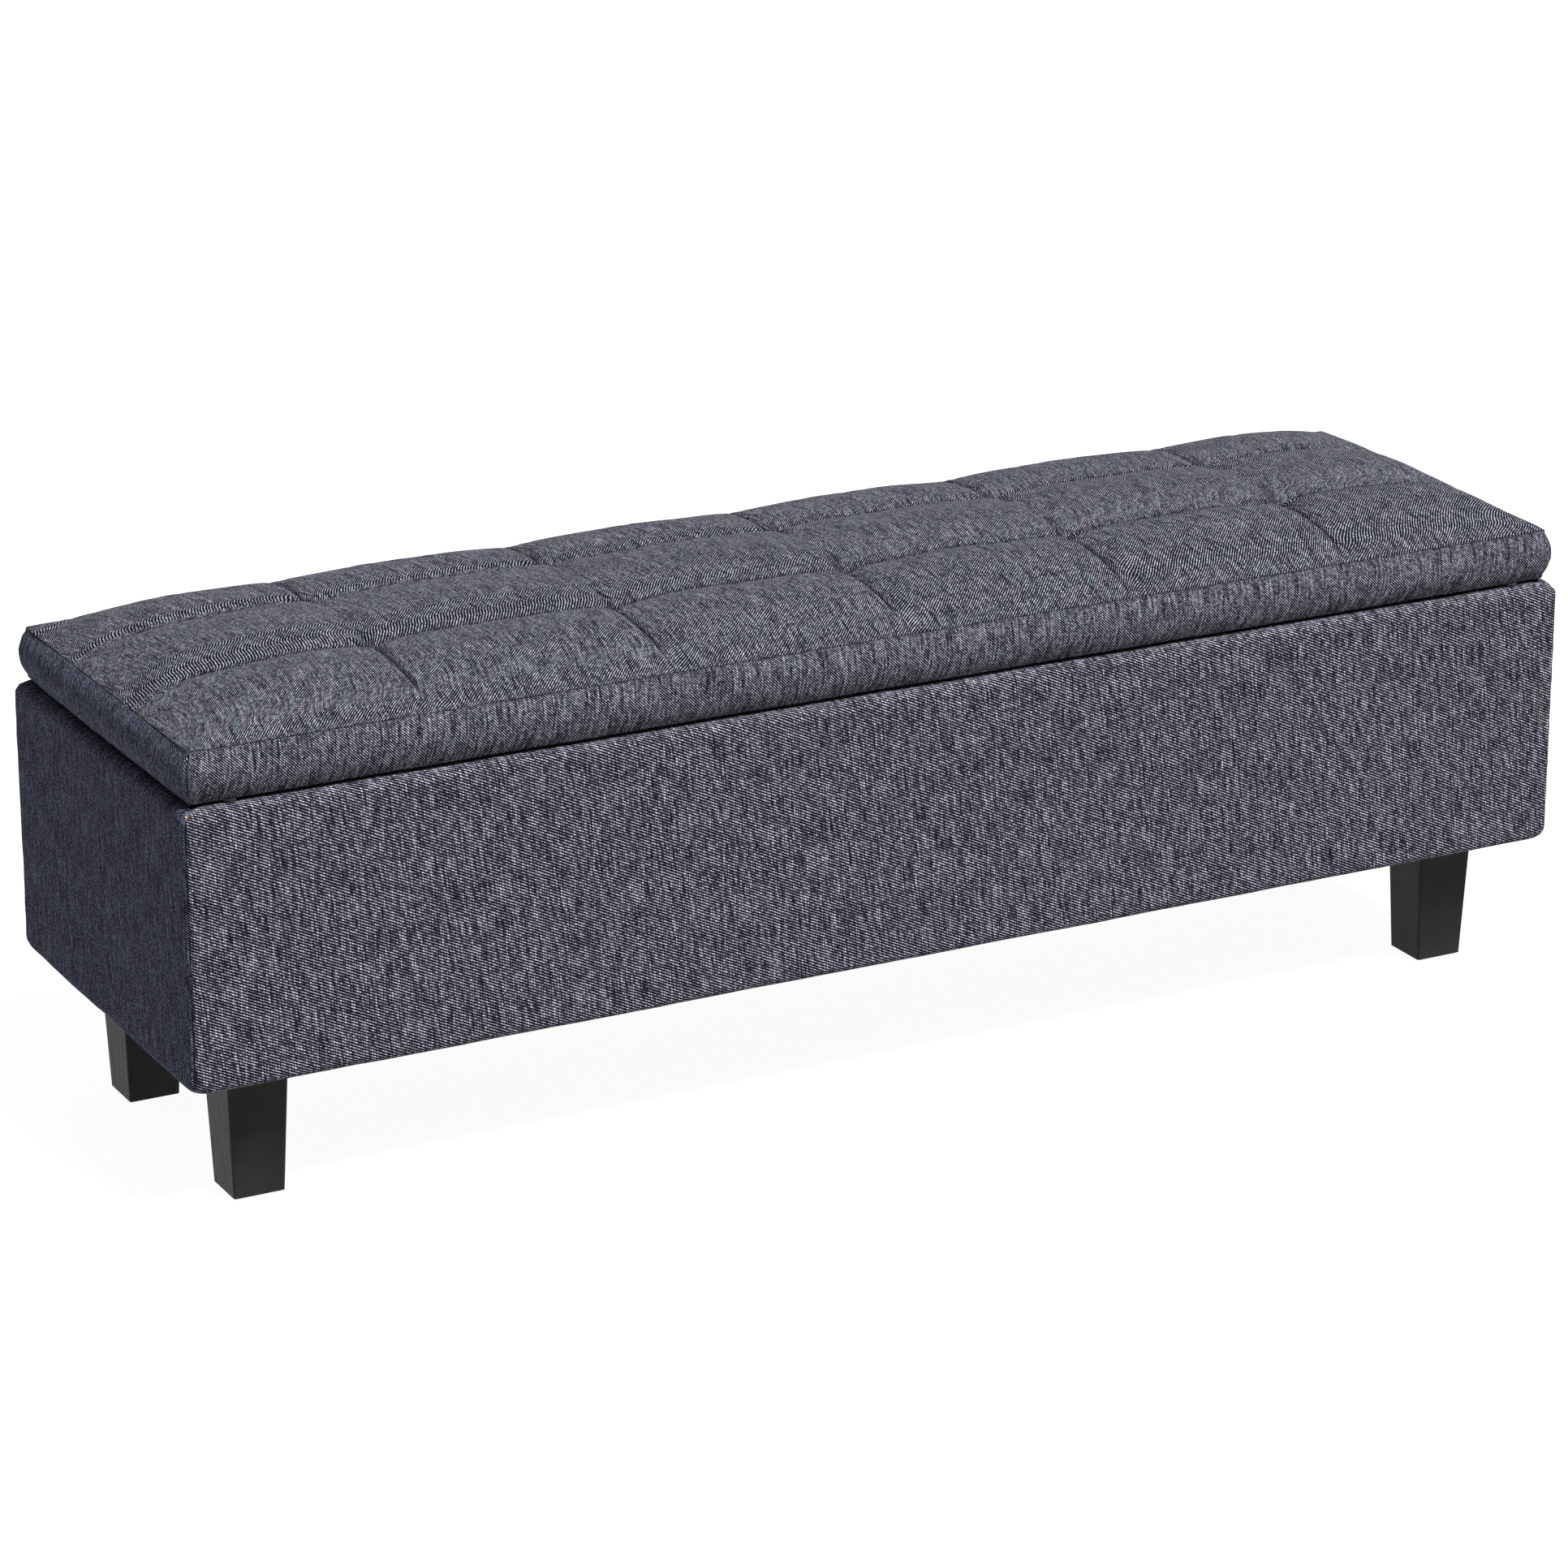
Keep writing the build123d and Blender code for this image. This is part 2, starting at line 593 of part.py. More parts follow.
def make_hinges():
    sinks = {"box": [], "lid": []}
    screws = {"box": [], "lid": []}
    for x, y in hinge_screw_places():
        for body, z, way in (("box", box_top + hinge_leaf_thickness, (0, 0, -1)),
                             ("lid", lid_bottom - hinge_leaf_thickness, (0, 0, 1))):
            sinks[body].append(rod((x, y, z), way, hinge_leaf_thickness,
                                   screw_head_radius + running_clearance,
                                   screw_radius + running_clearance))
            length = short_screw_length + (cover_thickness if body == "box" else 0)
            screws[body].append(screw((x, y, z), way, length, head_height=hinge_leaf_thickness,
                                      countersunk=True))
    fixed = [index for index in range(hinge_knuckles) if index % 2 == 0]
    moving = [index for index in range(hinge_knuckles) if index % 2 == 1]
    for name, side in (("left", -1), ("right", 1)):
        centre = side * hinge_spacing / 2
        nodes[f"hinge_{name}_box_leaf"] = hinge_leaf(centre, box_top, fixed) - sinks["box"]
        nodes[f"hinge_{name}_lid_leaf"] = hinge_leaf(
            centre, lid_bottom - hinge_leaf_thickness, moving) - sinks["lid"]
    nodes["hinge_pins"] = group([
        rod((side * hinge_spacing / 2 - hinge_length / 2, hinge_y, hinge_z), (1, 0, 0), hinge_length,
            hinge_pin_radius) for side in (-1, 1)])
    nodes["hinge_box_screws"] = group(screws["box"])
    nodes["hinge_lid_screws"] = group(screws["lid"])


# ---- Lid stays ----
def stay_plane(x):
    """Upright plane at x with its origin on the hinge axis: local X forward, local Y up."""
    return Plane(origin=(x, hinge_y, hinge_z), x_dir=(0, -1, 0), z_dir=(-1, 0, 0))


def stay_rod(start_x, end_x, at, radius, end_radius=None):
    """A round stretch of a stay's pin, from one x to another."""
    forward, up = at
    way = (1, 0, 0) if end_x > start_x else (-1, 0, 0)
    return rod((start_x, hinge_y - forward, hinge_z + up), way, abs(end_x - start_x), radius, end_radius)


def make_stay_arm():
    """The slotted arm at the right end, folded down into the well."""
    pivot = stay_point(stay_pivot_angle)
    along = cos(radians(stay_angle_closed)), sin(radians(stay_angle_closed))
    reach = slot_end + slot_end_gap + stay_arm_end - stay_arm_width / 2

    def slot(start, end, width):
        middle = (start + end) / 2
        at = Pos(pivot[0] + along[0] * middle, pivot[1] + along[1] * middle)
        return at * SlotCenterToCenter(end - start, width, rotation=stay_angle_closed)

    plate = slot(0, reach, stay_arm_width)
    plate -= slot(slot_start, slot_end, 2 * slot_end_gap)
    plate -= Pos(*pivot) * Circle(stay_pin_radius + running_clearance)
    return extrude(stay_plane(stay_arm_x) * plate, stay_thickness)


def make_stay_lid_bracket():
    """The bracket under the lid at the right end, with the rivet that the arm turns on."""
    pivot = stay_point(stay_pivot_angle)
    top = lid_gap / 2
    tongue = Pos(*pivot) * Circle(stay_arm_width / 2)
    tongue += Pos(pivot[0], (pivot[1] + top) / 2) * Rectangle(stay_arm_width, top - pivot[1])
    bracket = extrude(stay_plane(stay_bracket_x + stay_thickness) * tongue, stay_thickness)
    y = hinge_y - pivot[0]
    bracket += block(
        (stay_bracket_x + stay_thickness - stay_flange_width, stay_bracket_x + stay_thickness),
        (y - stay_flange_length / 2, y + stay_flange_length / 2), (lid_bottom - stay_thickness, lid_bottom))
    bracket -= [screw_hole(at, way, short_screw_length) for at, way in stay_flange_screws()]
    face = stay_bracket_x + stay_thickness
    arm_inner = stay_arm_x - stay_thickness
    head = stay_arm_x + stay_washer_air
    bracket += stay_rod(face - stay_boss_root, arm_inner - stay_washer_air, pivot, stay_head_radius)
    bracket += stay_rod(face, head + stay_boss_root, pivot, stay_pin_radius)
    bracket += stay_rod(head, head + stay_head_height, pivot, stay_head_radius, stay_head_radius * 0.7)
    return bracket


def make_stay_box_plate():
    """The wall plate at the right end, with the stud that the arm's slot slides on."""
    stud = stay_point(stay_stud_angle)
    plate = Pos(stud[0], stud[1] + stay_stud_edge - stay_plate_length / 2) * RectangleRounded(
        stay_plate_width, stay_plate_length, stay_stud_edge / 2)
    wall = extrude(stay_plane(stay_wall_x) * plate, stay_thickness)
    wall -= [screw_hole(at, way, short_screw_length) for at, way in stay_wall_screws()]
    face = stay_wall_x - stay_thickness
    arm_inner = stay_arm_x - stay_thickness
    head = arm_inner - stay_stud_air
    wall += stay_rod(face + stay_boss_root, stay_arm_x + stay_stud_air, stud, stay_head_radius)
    wall += stay_rod(face, head - stay_boss_root, stud, stay_pin_radius)
    wall += stay_rod(head, head - stay_head_height, stud, stay_head_radius, stay_head_radius * 0.7)
    return wall


def make_stays():
    pieces = {"lid_bracket": make_stay_lid_bracket(), "box_plate": make_stay_box_plate(),
              "arm": make_stay_arm()}
    for name, piece in pieces.items():
        nodes[f"stay_right_{name}"] = piece
        nodes[f"stay_left_{name}"] = mirrored(piece)
    nodes["stay_box_screws"] = group([screw(at, way, short_screw_length)
                                      for at, way in both_ends(stay_wall_screws())])
    nodes["stay_lid_screws"] = group([screw(at, way, short_screw_length)
                                      for at, way in both_ends(stay_flange_screws())])


make_panels()
make_floor()
make_leg_fixings()
make_legs()
make_box_covers()
make_linings()
make_dust_cover()
make_corner_brackets()
make_lid()
make_hinges()
make_stays()

os.makedirs("parts", exist_ok=True)
for node, part in nodes.items():
    export_step(part, f"parts/{node}.step")
print(len(nodes), "nodes; stay radius", round(stay_radius, 2), "arm slot", round(slot_start, 1),
      "to", round(slot_end, 1), "overall height", overall_height)
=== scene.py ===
"""Looks of a long upholstered storage bench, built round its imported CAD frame. Metres."""
import json
from math import asin, atan2, ceil, cos, pi, radians, sin, sqrt, tan

import bpy
import numpy as np
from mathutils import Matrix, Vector


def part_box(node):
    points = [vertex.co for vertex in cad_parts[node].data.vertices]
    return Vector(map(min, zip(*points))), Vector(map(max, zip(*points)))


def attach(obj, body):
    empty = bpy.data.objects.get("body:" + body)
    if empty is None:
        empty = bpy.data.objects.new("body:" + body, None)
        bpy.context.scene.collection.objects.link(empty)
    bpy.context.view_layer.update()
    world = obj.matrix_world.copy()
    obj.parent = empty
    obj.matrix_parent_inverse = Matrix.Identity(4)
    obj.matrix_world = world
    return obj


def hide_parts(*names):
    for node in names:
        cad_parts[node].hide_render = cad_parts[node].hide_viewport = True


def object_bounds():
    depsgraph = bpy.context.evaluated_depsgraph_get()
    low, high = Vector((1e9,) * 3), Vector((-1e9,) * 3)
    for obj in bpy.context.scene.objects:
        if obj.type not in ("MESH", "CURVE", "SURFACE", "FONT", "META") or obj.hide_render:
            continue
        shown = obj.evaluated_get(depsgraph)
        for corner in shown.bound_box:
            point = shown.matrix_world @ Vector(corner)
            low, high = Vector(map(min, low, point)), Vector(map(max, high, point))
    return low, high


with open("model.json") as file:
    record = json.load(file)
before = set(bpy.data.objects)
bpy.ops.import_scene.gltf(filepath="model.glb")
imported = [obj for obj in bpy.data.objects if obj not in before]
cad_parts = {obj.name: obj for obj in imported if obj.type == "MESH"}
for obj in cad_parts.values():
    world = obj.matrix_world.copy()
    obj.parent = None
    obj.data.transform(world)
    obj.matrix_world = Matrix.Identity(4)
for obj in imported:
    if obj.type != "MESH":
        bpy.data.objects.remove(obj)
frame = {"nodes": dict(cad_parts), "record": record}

cad_low, cad_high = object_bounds()
nodes = frame["nodes"]
MM = 0.001
CLOTH_MAP = "cloth"          # a piece's cloth coordinates, in metres
PAINTED_SHADE = "painted_shade"                # how much shade is painted into the cloth at each point, in and beside seams, 0 to 1
SAME_PLACE = 1e-6            # points and seams nearer than this count as one
NOT_ZERO = 1e-9              # keeps a division safe
WHITE = (1, 1, 1, 1)

# ---- Sizes, all from the CAD ----
half_length, half_depth = cad_high.x, cad_high.y
box_bottom, box_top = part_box("front_cover")[0].z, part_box("front_cover")[1].z
board_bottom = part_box("front_panel")[0].z
board_inset = half_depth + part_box("front_panel")[1].y        # bench's outside to a board's inner face
flap_inset = half_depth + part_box("front_cover")[1].y         # and to the inside of the cover's flap
flap_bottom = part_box("front_lining")[1].z
lid_bottom, lid_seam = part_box("lid_front_band")[0].z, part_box("lid_front_band")[1].z
lid_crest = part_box("lid_top_cover")[1].z
waist_inset = half_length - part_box("lid_top_cover")[1].x     # boxing's bulge to its two edges
lid_flap_inset = half_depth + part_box("lid_front_band")[1].y
lid_board_low, lid_board_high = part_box("lid_board")
lid_board_inset = half_length - lid_board_high.x
tie_low, tie_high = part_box("lid_tuft_ties")
washer_radius = 5 * MM
tuft_columns, tuft_rows = (-2, -1, 0, 1, 2), (-1, 1)
tuft_x = (tie_high.x - washer_radius) / tuft_columns[-1]     # from one column of tufts to the next
tuft_y = tie_high.y - washer_radius                          # from the middle to a row of tufts

# Each side's outward direction in plan.
SIDES = {"front": (0, -1), "back": (0, 1), "left_end": (-1, 0), "right_end": (1, 0)}


# ---- Small tools ----
def ripple(a, b, wavelength, seed):
    """A smooth wandering surface between about -1 and 1, the same each run."""
    waves = 7
    rng = np.random.default_rng(seed)
    total = np.zeros(np.broadcast(a, b).shape)
    for _ in range(waves):
        way, phase = rng.uniform(0, 2 * pi, 2)
        length = wavelength * rng.uniform(0.7, 1.5)
        total += np.sin(2 * pi * (a * cos(way) + b * sin(way)) / length + phase)
    return total / sqrt(waves * 2.0)


def smooth(value, low, high):
    """0 at low, 1 at high and an easy S between; low may be the larger."""
    t = np.clip((value - low) / (high - low), 0, 1)
    return t * t * (3 - 2 * t)


def fade(distance, reach):
    """1 at no distance, falling off sharply at first."""
    return np.exp(-distance / reach)


def bell(distance, reach):
    """1 at no distance, with a round top."""
    return np.exp(-(distance / reach) ** 2)


def mesh_object(name, points, faces, cloth=None, painted_shade=None):
    """A smooth-shaded mesh object; cloth holds one coordinate pair for each point, and the painted seam
    shade one number.
    """
    mesh = bpy.data.meshes.new(name)
    mesh.from_pydata(np.asarray(points).reshape(-1, 3).tolist(), [], [list(f) for f in faces])
    mesh.polygons.foreach_set("use_smooth", [True] * len(mesh.polygons))
    if cloth is not None:
        layer = mesh.uv_layers.new(name=CLOTH_MAP)
        corners = np.zeros(len(mesh.loops), int)
        mesh.loops.foreach_get("vertex_index", corners)
        layer.data.foreach_set("uv", np.asarray(cloth).reshape(-1, 2)[corners].astype(np.float32).ravel())
    if painted_shade is not None:
        mesh.attributes.new(PAINTED_SHADE, "FLOAT", "POINT").data.foreach_set("value", np.ravel(painted_shade))
    mesh.update()
    made = bpy.data.objects.new(name, mesh)
    bpy.context.scene.collection.objects.link(made)
    return made


def grid_faces(rows, columns, start=0):
    """Quads of a grid of points, counter-clockwise for points laid row by row upwards."""
    index = start + np.arange(rows * columns).reshape(rows, columns)
    return np.stack([index[:-1, :-1], index[:-1, 1:], index[1:, 1:], index[1:, :-1]], -1).reshape(-1, 4)


def place(piece, body, material, replaced):
    """Gives a piece its material and its body, and hides the CAD nodes that it stands for."""
    piece.data.materials.append(material)
    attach(piece, body)
    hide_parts(*replaced)


# ---- Materials ----
class Graph:
    """A material's nodes. An input is a number, a tuple, or another node's output."""

    def __init__(self, name):
        self.material = bpy.data.materials.new(name)
        self.material.use_nodes = True
        self.tree = self.material.node_tree
        self.tree.nodes.clear()

    def node(self, kind, inputs, output=0, **settings):
        made = self.tree.nodes.new("ShaderNode" + kind)
        for key, value in settings.items():
            setattr(made, key, value)
        for key, value in inputs.items():
            if isinstance(value, bpy.types.NodeSocket):
                self.tree.links.new(value, made.inputs[key])
            else:
                made.inputs[key].default_value = value
        return made.outputs[output]

    def math(self, operation, a, b=0.0):
        return self.node("Math", {0: a, 1: b}, operation=operation)

    def vector(self, operation, a, b):
        return self.node("VectorMath", {0: a, 1: b}, operation=operation)

    def dot(self, a, b):
        return self.node("VectorMath", {0: a, 1: b}, "Value", operation="DOT_PRODUCT")

    def noise(self, at, scale, detail=2.0, roughness=0.5, output="Fac"):
        return self.node("TexNoise", {"Vector": at, "Scale": scale, "Detail": detail,
                                      "Roughness": roughness}, output)

    def spread(self, value, low, high, to_low=0.0, to_high=1.0, soft=True):
        return self.node("MapRange", {"Value": value, "From Min": low, "From Max": high,
                                      "To Min": to_low, "To Max": to_high},
                         interpolation_type="SMOOTHSTEP" if soft else "LINEAR")

    def mix(self, share, a, b, blend="MIX"):
        return self.node("Mix", {0: share, 6: a, 7: b}, 2, data_type="RGBA", blend_type=blend)

    def objects_place(self):
        return self.node("TexCoord", {}, "Object")

    def bump(self, height, distance, strength, normal=None):
        inputs = {"Height": height, "Distance": distance, "Strength": strength}
        if normal is not None:
            inputs["Normal"] = normal
        return self.node("Bump", inputs)

    def finish(self, **inputs):
        shader = self.node("BsdfPrincipled", {k.replace("_", " "): v for k, v in inputs.items()})
        output = self.tree.nodes.new("ShaderNodeOutputMaterial")
        self.tree.links.new(shader, output.inputs["Surface"])
        return self.material


def upholstery(name, lean, pitch, brightness, streak, relief, tinted, cast=WHITE):
    """Heathered twill: pale slubbed dashes in diagonal lines over a near-black navy ground.

    lean is the lines' rise in degrees along the cloth and pitch the distance between two of them.
    brightness scales the dashes' colour and is partly painted light, set per piece, streak is how
    strongly the slubs show, relief the bump's strength, tinted the share of purple and teal patches,
    and cast a colour over the dashes, which on the end pieces is painted bluish shade.
    """
    # The second colour is the near-black of the shade painted into seams.
    ground, seam_painted_shade = (0.0022, 0.0026, 0.0050, 1), (0.0035, 0.0036, 0.0050, 1)
    plain, purple, teal = (0.282, 0.283, 0.335, 1), (0.308, 0.272, 0.345, 1), (0.258, 0.296, 0.328, 1)
    wander = 0.7 * MM            # how far the lines stray from straight
    dash = 1.15 * pitch          # a dash's length
    stagger = 0.37               # each line's shift along it, in dashes
    half_width, width_spread = 0.095, 0.09        # of a line, in pitches, and how much dashes differ
    frayed, soft_edge = 0.14, 0.06                # the dashes' ragged sides, in pitches

    g = Graph(name)
    cloth = g.node("UVMap", {}, uv_map=CLOTH_MAP)
    drift = g.vector("SUBTRACT", g.noise(cloth, 90, 2, output="Color"), (0.5, 0.5, 0.5))
    at = g.vector("ADD", cloth, g.vector("MULTIPLY", drift, (wander, wander, 0)))
    angle = radians(lean)
    across = g.dot(at, (-sin(angle) / pitch, cos(angle) / pitch, 0))
    row = g.math("FLOOR", across)
    along = g.math("ADD", g.dot(at, (cos(angle) / dash, sin(angle) / dash, 0)),
                   g.math("MULTIPLY", row, stagger))
    dash_number = g.node("CombineXYZ", {0: g.math("FLOOR", along), 1: row, 2: 0.0})
    chance = g.node("TexWhiteNoise", {"Vector": dash_number}, "Value", noise_dimensions="2D")
    off_line = g.math("ABSOLUTE", g.math("SUBTRACT", g.math("FRACT", across), 0.5))
    off_dash = g.math("ABSOLUTE", g.math("SUBTRACT", g.math("FRACT", along), 0.5))

    # Slubs make upright streaks, two or so millimetres wide and a few centimetres long.
    upright = g.node("CombineXYZ", {0: g.dot(cloth, (560, 68, 0)), 1: g.dot(cloth, (0, 36, 0)), 2: 0.0})
    slub = g.noise(upright, 1.0, 2, 0.55)
    thin = g.noise(g.vector("MULTIPLY", upright, (2.3, 1.4, 1)), 1.0, 1, 0.5)
    fuzz = g.noise(cloth, 1500, 2, 0.7)
    width = g.math("ADD", half_width, g.math("MULTIPLY", chance, width_spread))
    width = g.math("ADD", width, g.math("MULTIPLY", g.math("SUBTRACT", slub, 0.5), 1.1 * streak))
    ragged = g.math("ADD", off_line, g.math("MULTIPLY", g.math("SUBTRACT", fuzz, 0.5), frayed))
    line = g.spread(g.math("SUBTRACT", ragged, width), -soft_edge, soft_edge, 1.0, 0.0)
    crown = g.math("MULTIPLY", line, g.spread(off_dash, 0.30, 0.5, 1.0, 0.18))

    # Heather: faint purple and teal casts in patches, and dashes and slubs of unequal brightness.
    patches = g.spread(g.noise(g.vector("ADD", cloth, (3.1, 1.7, 0)), 46, 4, 0.65), 0.36, 0.64)
    pale = g.mix(tinted, plain, g.mix(patches, purple, teal))
    # cast tints the dashes; on the end pieces it is painted bluish shade.
    pale = g.mix(1.0, pale, cast, "MULTIPLY")
    strength = g.math("MULTIPLY", g.spread(chance, 0, 1, 1 - 0.4, 1 + 0.4, False),
                      g.spread(thin, 0.30, 0.70, 1 - 0.7 * streak, 1 + 0.7 * streak, False))
    # brightness is set per piece, partly as painted light; the end pieces get darker, shaded copies.
    strength = g.math("MULTIPLY", strength, brightness)
    pale = g.mix(1.0, pale, g.node("CombineColor", {0: strength, 1: strength, 2: strength}), "MULTIPLY")
    colour = g.mix(crown, ground, pale)
    # Painted shade: the colour darkens to near-black in and beside the seams, at the tufts and on the
    # tucked edges, where shade would fall.
    painted_shade = g.node("Attribute", {}, "Fac", attribute_name=PAINTED_SHADE)
    colour = g.mix(g.math("MULTIPLY", painted_shade, 0.88), colour, seam_painted_shade)
    rough = g.spread(fuzz, 0.3, 0.7, 0.82, 0.97, False)
    height = g.math("ADD", crown, g.math("MULTIPLY", fuzz, 0.2))
    return g.finish(Base_Color=colour, Roughness=rough, Specular_IOR_Level=0.05, Sheen_Weight=0.012,
                    Sheen_Roughness=0.45, Normal=g.bump(height, 0.22 * MM, relief))


def lining_cloth(name):
    """Black woven lining: a fine plain weave with faint creases."""
    threads_per_metre = 900
    g = Graph(name)
    cloth = g.node("UVMap", {}, uv_map=CLOTH_MAP)
    threads = g.vector("MULTIPLY", cloth, (threads_per_metre, threads_per_metre, 1))
    u = g.math("SINE", g.dot(threads, (2 * pi, 0, 0)))
    v = g.math("SINE", g.dot(threads, (0, 2 * pi, 0)))
    weave = g.math("MULTIPLY", u, v)
    crease = g.noise(cloth, 14, 4, 0.6)
    shade = g.spread(g.math("ADD", crease, g.math("MULTIPLY", weave, 0.05)), 0.3, 0.75)
    colour = g.mix(shade, (0.0095, 0.0095, 0.011, 1), (0.0155, 0.0155, 0.0175, 1))
    normal = g.bump(weave, 0.12 * MM, 0.5, g.bump(crease, 2.5 * MM, 0.5))
    return g.finish(Base_Color=colour, Roughness=g.spread(crease, 0.3, 0.7, 0.72, 0.82),
                    Specular_IOR_Level=0.2, Normal=normal)


def wood(name, dark, light, rings, fibre, rough_low, rough_high):
    """Sawn softwood or board, with its grain and pores along X; rings and fibre are scales per metre."""
    g = Graph(name)
    at = g.objects_place()
    long_grain = g.vector("MULTIPLY", at, (rings * 0.05, rings, rings))
    grain = g.noise(long_grain, 1.0, 4, 0.6)
    bands = g.math("SINE", g.math("MULTIPLY", grain, 34))
    pores = g.noise(g.vector("MULTIPLY", at, (fibre * 0.08, fibre, fibre)), 1.0, 3, 0.7)
    shade = g.spread(g.math("ADD", g.math("MULTIPLY", bands, 0.28), pores), 0.2, 0.9)
    colour = g.mix(shade, dark, light)
    return g.finish(Base_Color=colour, Roughness=g.spread(pores, 0.3, 0.7, rough_low, rough_high),
                    Normal=g.bump(g.math("ADD", pores, g.math("MULTIPLY", bands, 0.1)), 0.25 * MM, 0.5))


def leg_paint(name):
    """Black satin paint on wood: faint upright grain telegraphs through, worn a little at the foot."""
    g = Graph(name)
    at = g.objects_place()
    grain = g.noise(g.vector("MULTIPLY", at, (420, 420, 18)), 1.0, 4, 0.6)
    orange_peel = g.noise(at, 650, 2, 0.5)
    cloud = g.noise(at, 22, 3, 0.5)
    height = g.node("SeparateXYZ", {0: at}, "Z")
    low_down = g.spread(height, 2 * MM, 26 * MM, 1.0, 0.0)
    scuff = g.math("MULTIPLY", low_down, g.spread(g.noise(at, 240, 4, 0.7), 0.56, 0.68))
    colour = g.mix(g.spread(cloud, 0.3, 0.7), (0.0080, 0.0080, 0.0085, 1), (0.0115, 0.0115, 0.0118, 1))
    colour = g.mix(g.math("MULTIPLY", scuff, 0.4), colour, (0.03, 0.029, 0.027, 1))
    rough = g.math("ADD", g.spread(grain, 0.3, 0.7, 0.36, 0.46), g.math("MULTIPLY", scuff, 0.2))
    relief = g.math("ADD", g.math("MULTIPLY", grain, 0.7), g.math("MULTIPLY", orange_peel, 0.3))
    return g.finish(Base_Color=colour, Roughness=rough, Specular_IOR_Level=0.1,
                    Normal=g.bump(relief, 0.12 * MM, 0.35))


def metal(name, dark, light, metallic, rough_low, rough_high):
    """Plated or painted steel with fine brushing and blotches."""
    g = Graph(name)
    at = g.objects_place()
    brushed = g.noise(g.vector("MULTIPLY", at, (2600, 2600, 90)), 1.0, 2, 0.6)
    blotch = g.noise(at, 90, 4, 0.6)
    colour = g.mix(g.spread(blotch, 0.3, 0.7), dark, light)
    rough = g.math("ADD", g.spread(blotch, 0.3, 0.7, rough_low, rough_high),
                   g.math("MULTIPLY", brushed, 0.08))
    return g.finish(Base_Color=colour, Metallic=metallic, Roughness=rough,
                    Normal=g.bump(brushed, 0.04 * MM, 0.4))


def moulded(name, dark, light, rough_low, rough_high, scale):
    """Moulded plastic or rubber with a fine pebbled skin; scale is in pebbles per metre."""
    g = Graph(name)
    at = g.objects_place()
    pebble = g.noise(at, scale, 3, 0.6)
    cloud = g.noise(at, 60, 2, 0.5)
    return g.finish(Base_Color=g.mix(g.spread(cloud, 0.3, 0.7), dark, light),
                    Roughness=g.spread(pebble, 0.3, 0.7, rough_low, rough_high),
                    Specular_IOR_Level=0.12, Normal=g.bump(pebble, 0.1 * MM, 0.5))


def twine_fibre(name):
    """Grey twine with fibres along it."""
    g = Graph(name)
    at = g.objects_place()
    fibre = g.noise(g.vector("MULTIPLY", at, (4000, 4000, 900)), 1.0, 3, 0.6)
    return g.finish(Base_Color=g.mix(fibre, (0.16, 0.16, 0.175, 1), (0.34, 0.34, 0.36, 1)),
                    Roughness=g.spread(fibre, 0.3, 0.7, 0.75, 0.95), Normal=g.bump(fibre, 0.1 * MM, 0.5))


# The photograph's front, end, boxing and top differ in the way their lines lean and in brightness; the
# brightness set for each piece is partly painted light, and the end pieces are darker, bluer copies of the
# cloth as painted shade.
cloth_front = upholstery("upholstery_front", lean=-26, pitch=2.25 * MM, brightness=0.72, streak=0.6,
                         relief=0.3, tinted=0.1)
cloth_end_shaded = upholstery("upholstery_end_painted_shade", lean=34, pitch=1.7 * MM, brightness=0.51, streak=0.6,
                       relief=0.3, tinted=0.1, cast=(0.88, 0.98, 1.2, 1))
cloth_band = upholstery("upholstery_band", lean=46, pitch=1.75 * MM, brightness=0.63, streak=0.6,
                        relief=0.2, tinted=0.3)
cloth_band_end_shaded = upholstery("upholstery_band_end_painted_shade", lean=46, pitch=1.75 * MM, brightness=0.53, streak=0.5,
                            relief=0.2, tinted=0.2, cast=(0.88, 0.98, 1.17, 1))
cloth_top = upholstery("upholstery_top", lean=46, pitch=1.9 * MM, brightness=0.63, streak=0.5,
                       relief=0.1, tinted=0.7)
black_lining = lining_cloth("lining_cloth")
CAD_MATERIALS = {
    "board": wood("board", (0.30, 0.19, 0.10, 1), (0.56, 0.41, 0.26, 1), rings=160, fibre=900,
                  rough_low=0.6, rough_high=0.8),
    "softwood": wood("softwood", (0.46, 0.29, 0.14, 1), (0.72, 0.55, 0.34, 1), rings=90, fibre=700,
                     rough_low=0.55, rough_high=0.75),
    "black_leg_paint": leg_paint("black_leg_paint"),
    "zinc_steel": metal("zinc_steel", (0.24, 0.245, 0.26, 1), (0.36, 0.36, 0.37, 1), metallic=1.0,
                        rough_low=0.3, rough_high=0.46),
    "stay_steel": metal("stay_steel", (0.018, 0.018, 0.02, 1), (0.04, 0.04, 0.043, 1), metallic=0.0,
                        rough_low=0.3, rough_high=0.45),
    "glide_plastic": moulded("glide_plastic", (0.018, 0.018, 0.018, 1), (0.035, 0.035, 0.035, 1),
                             rough_low=0.5, rough_high=0.7, scale=1400),
    "bumper_rubber": moulded("bumper_rubber", (0.012, 0.012, 0.012, 1), (0.026, 0.026, 0.026, 1),
                             rough_low=0.7, rough_high=0.9, scale=900),
}
for part in frame["record"]["subparts"]:
    if part["material_slot"] in CAD_MATERIALS:
        node = nodes[part["node"]]
        for slot_index in range(len(node.material_slots)):
            node.material_slots[slot_index].material = CAD_MATERIALS[part["material_slot"]]


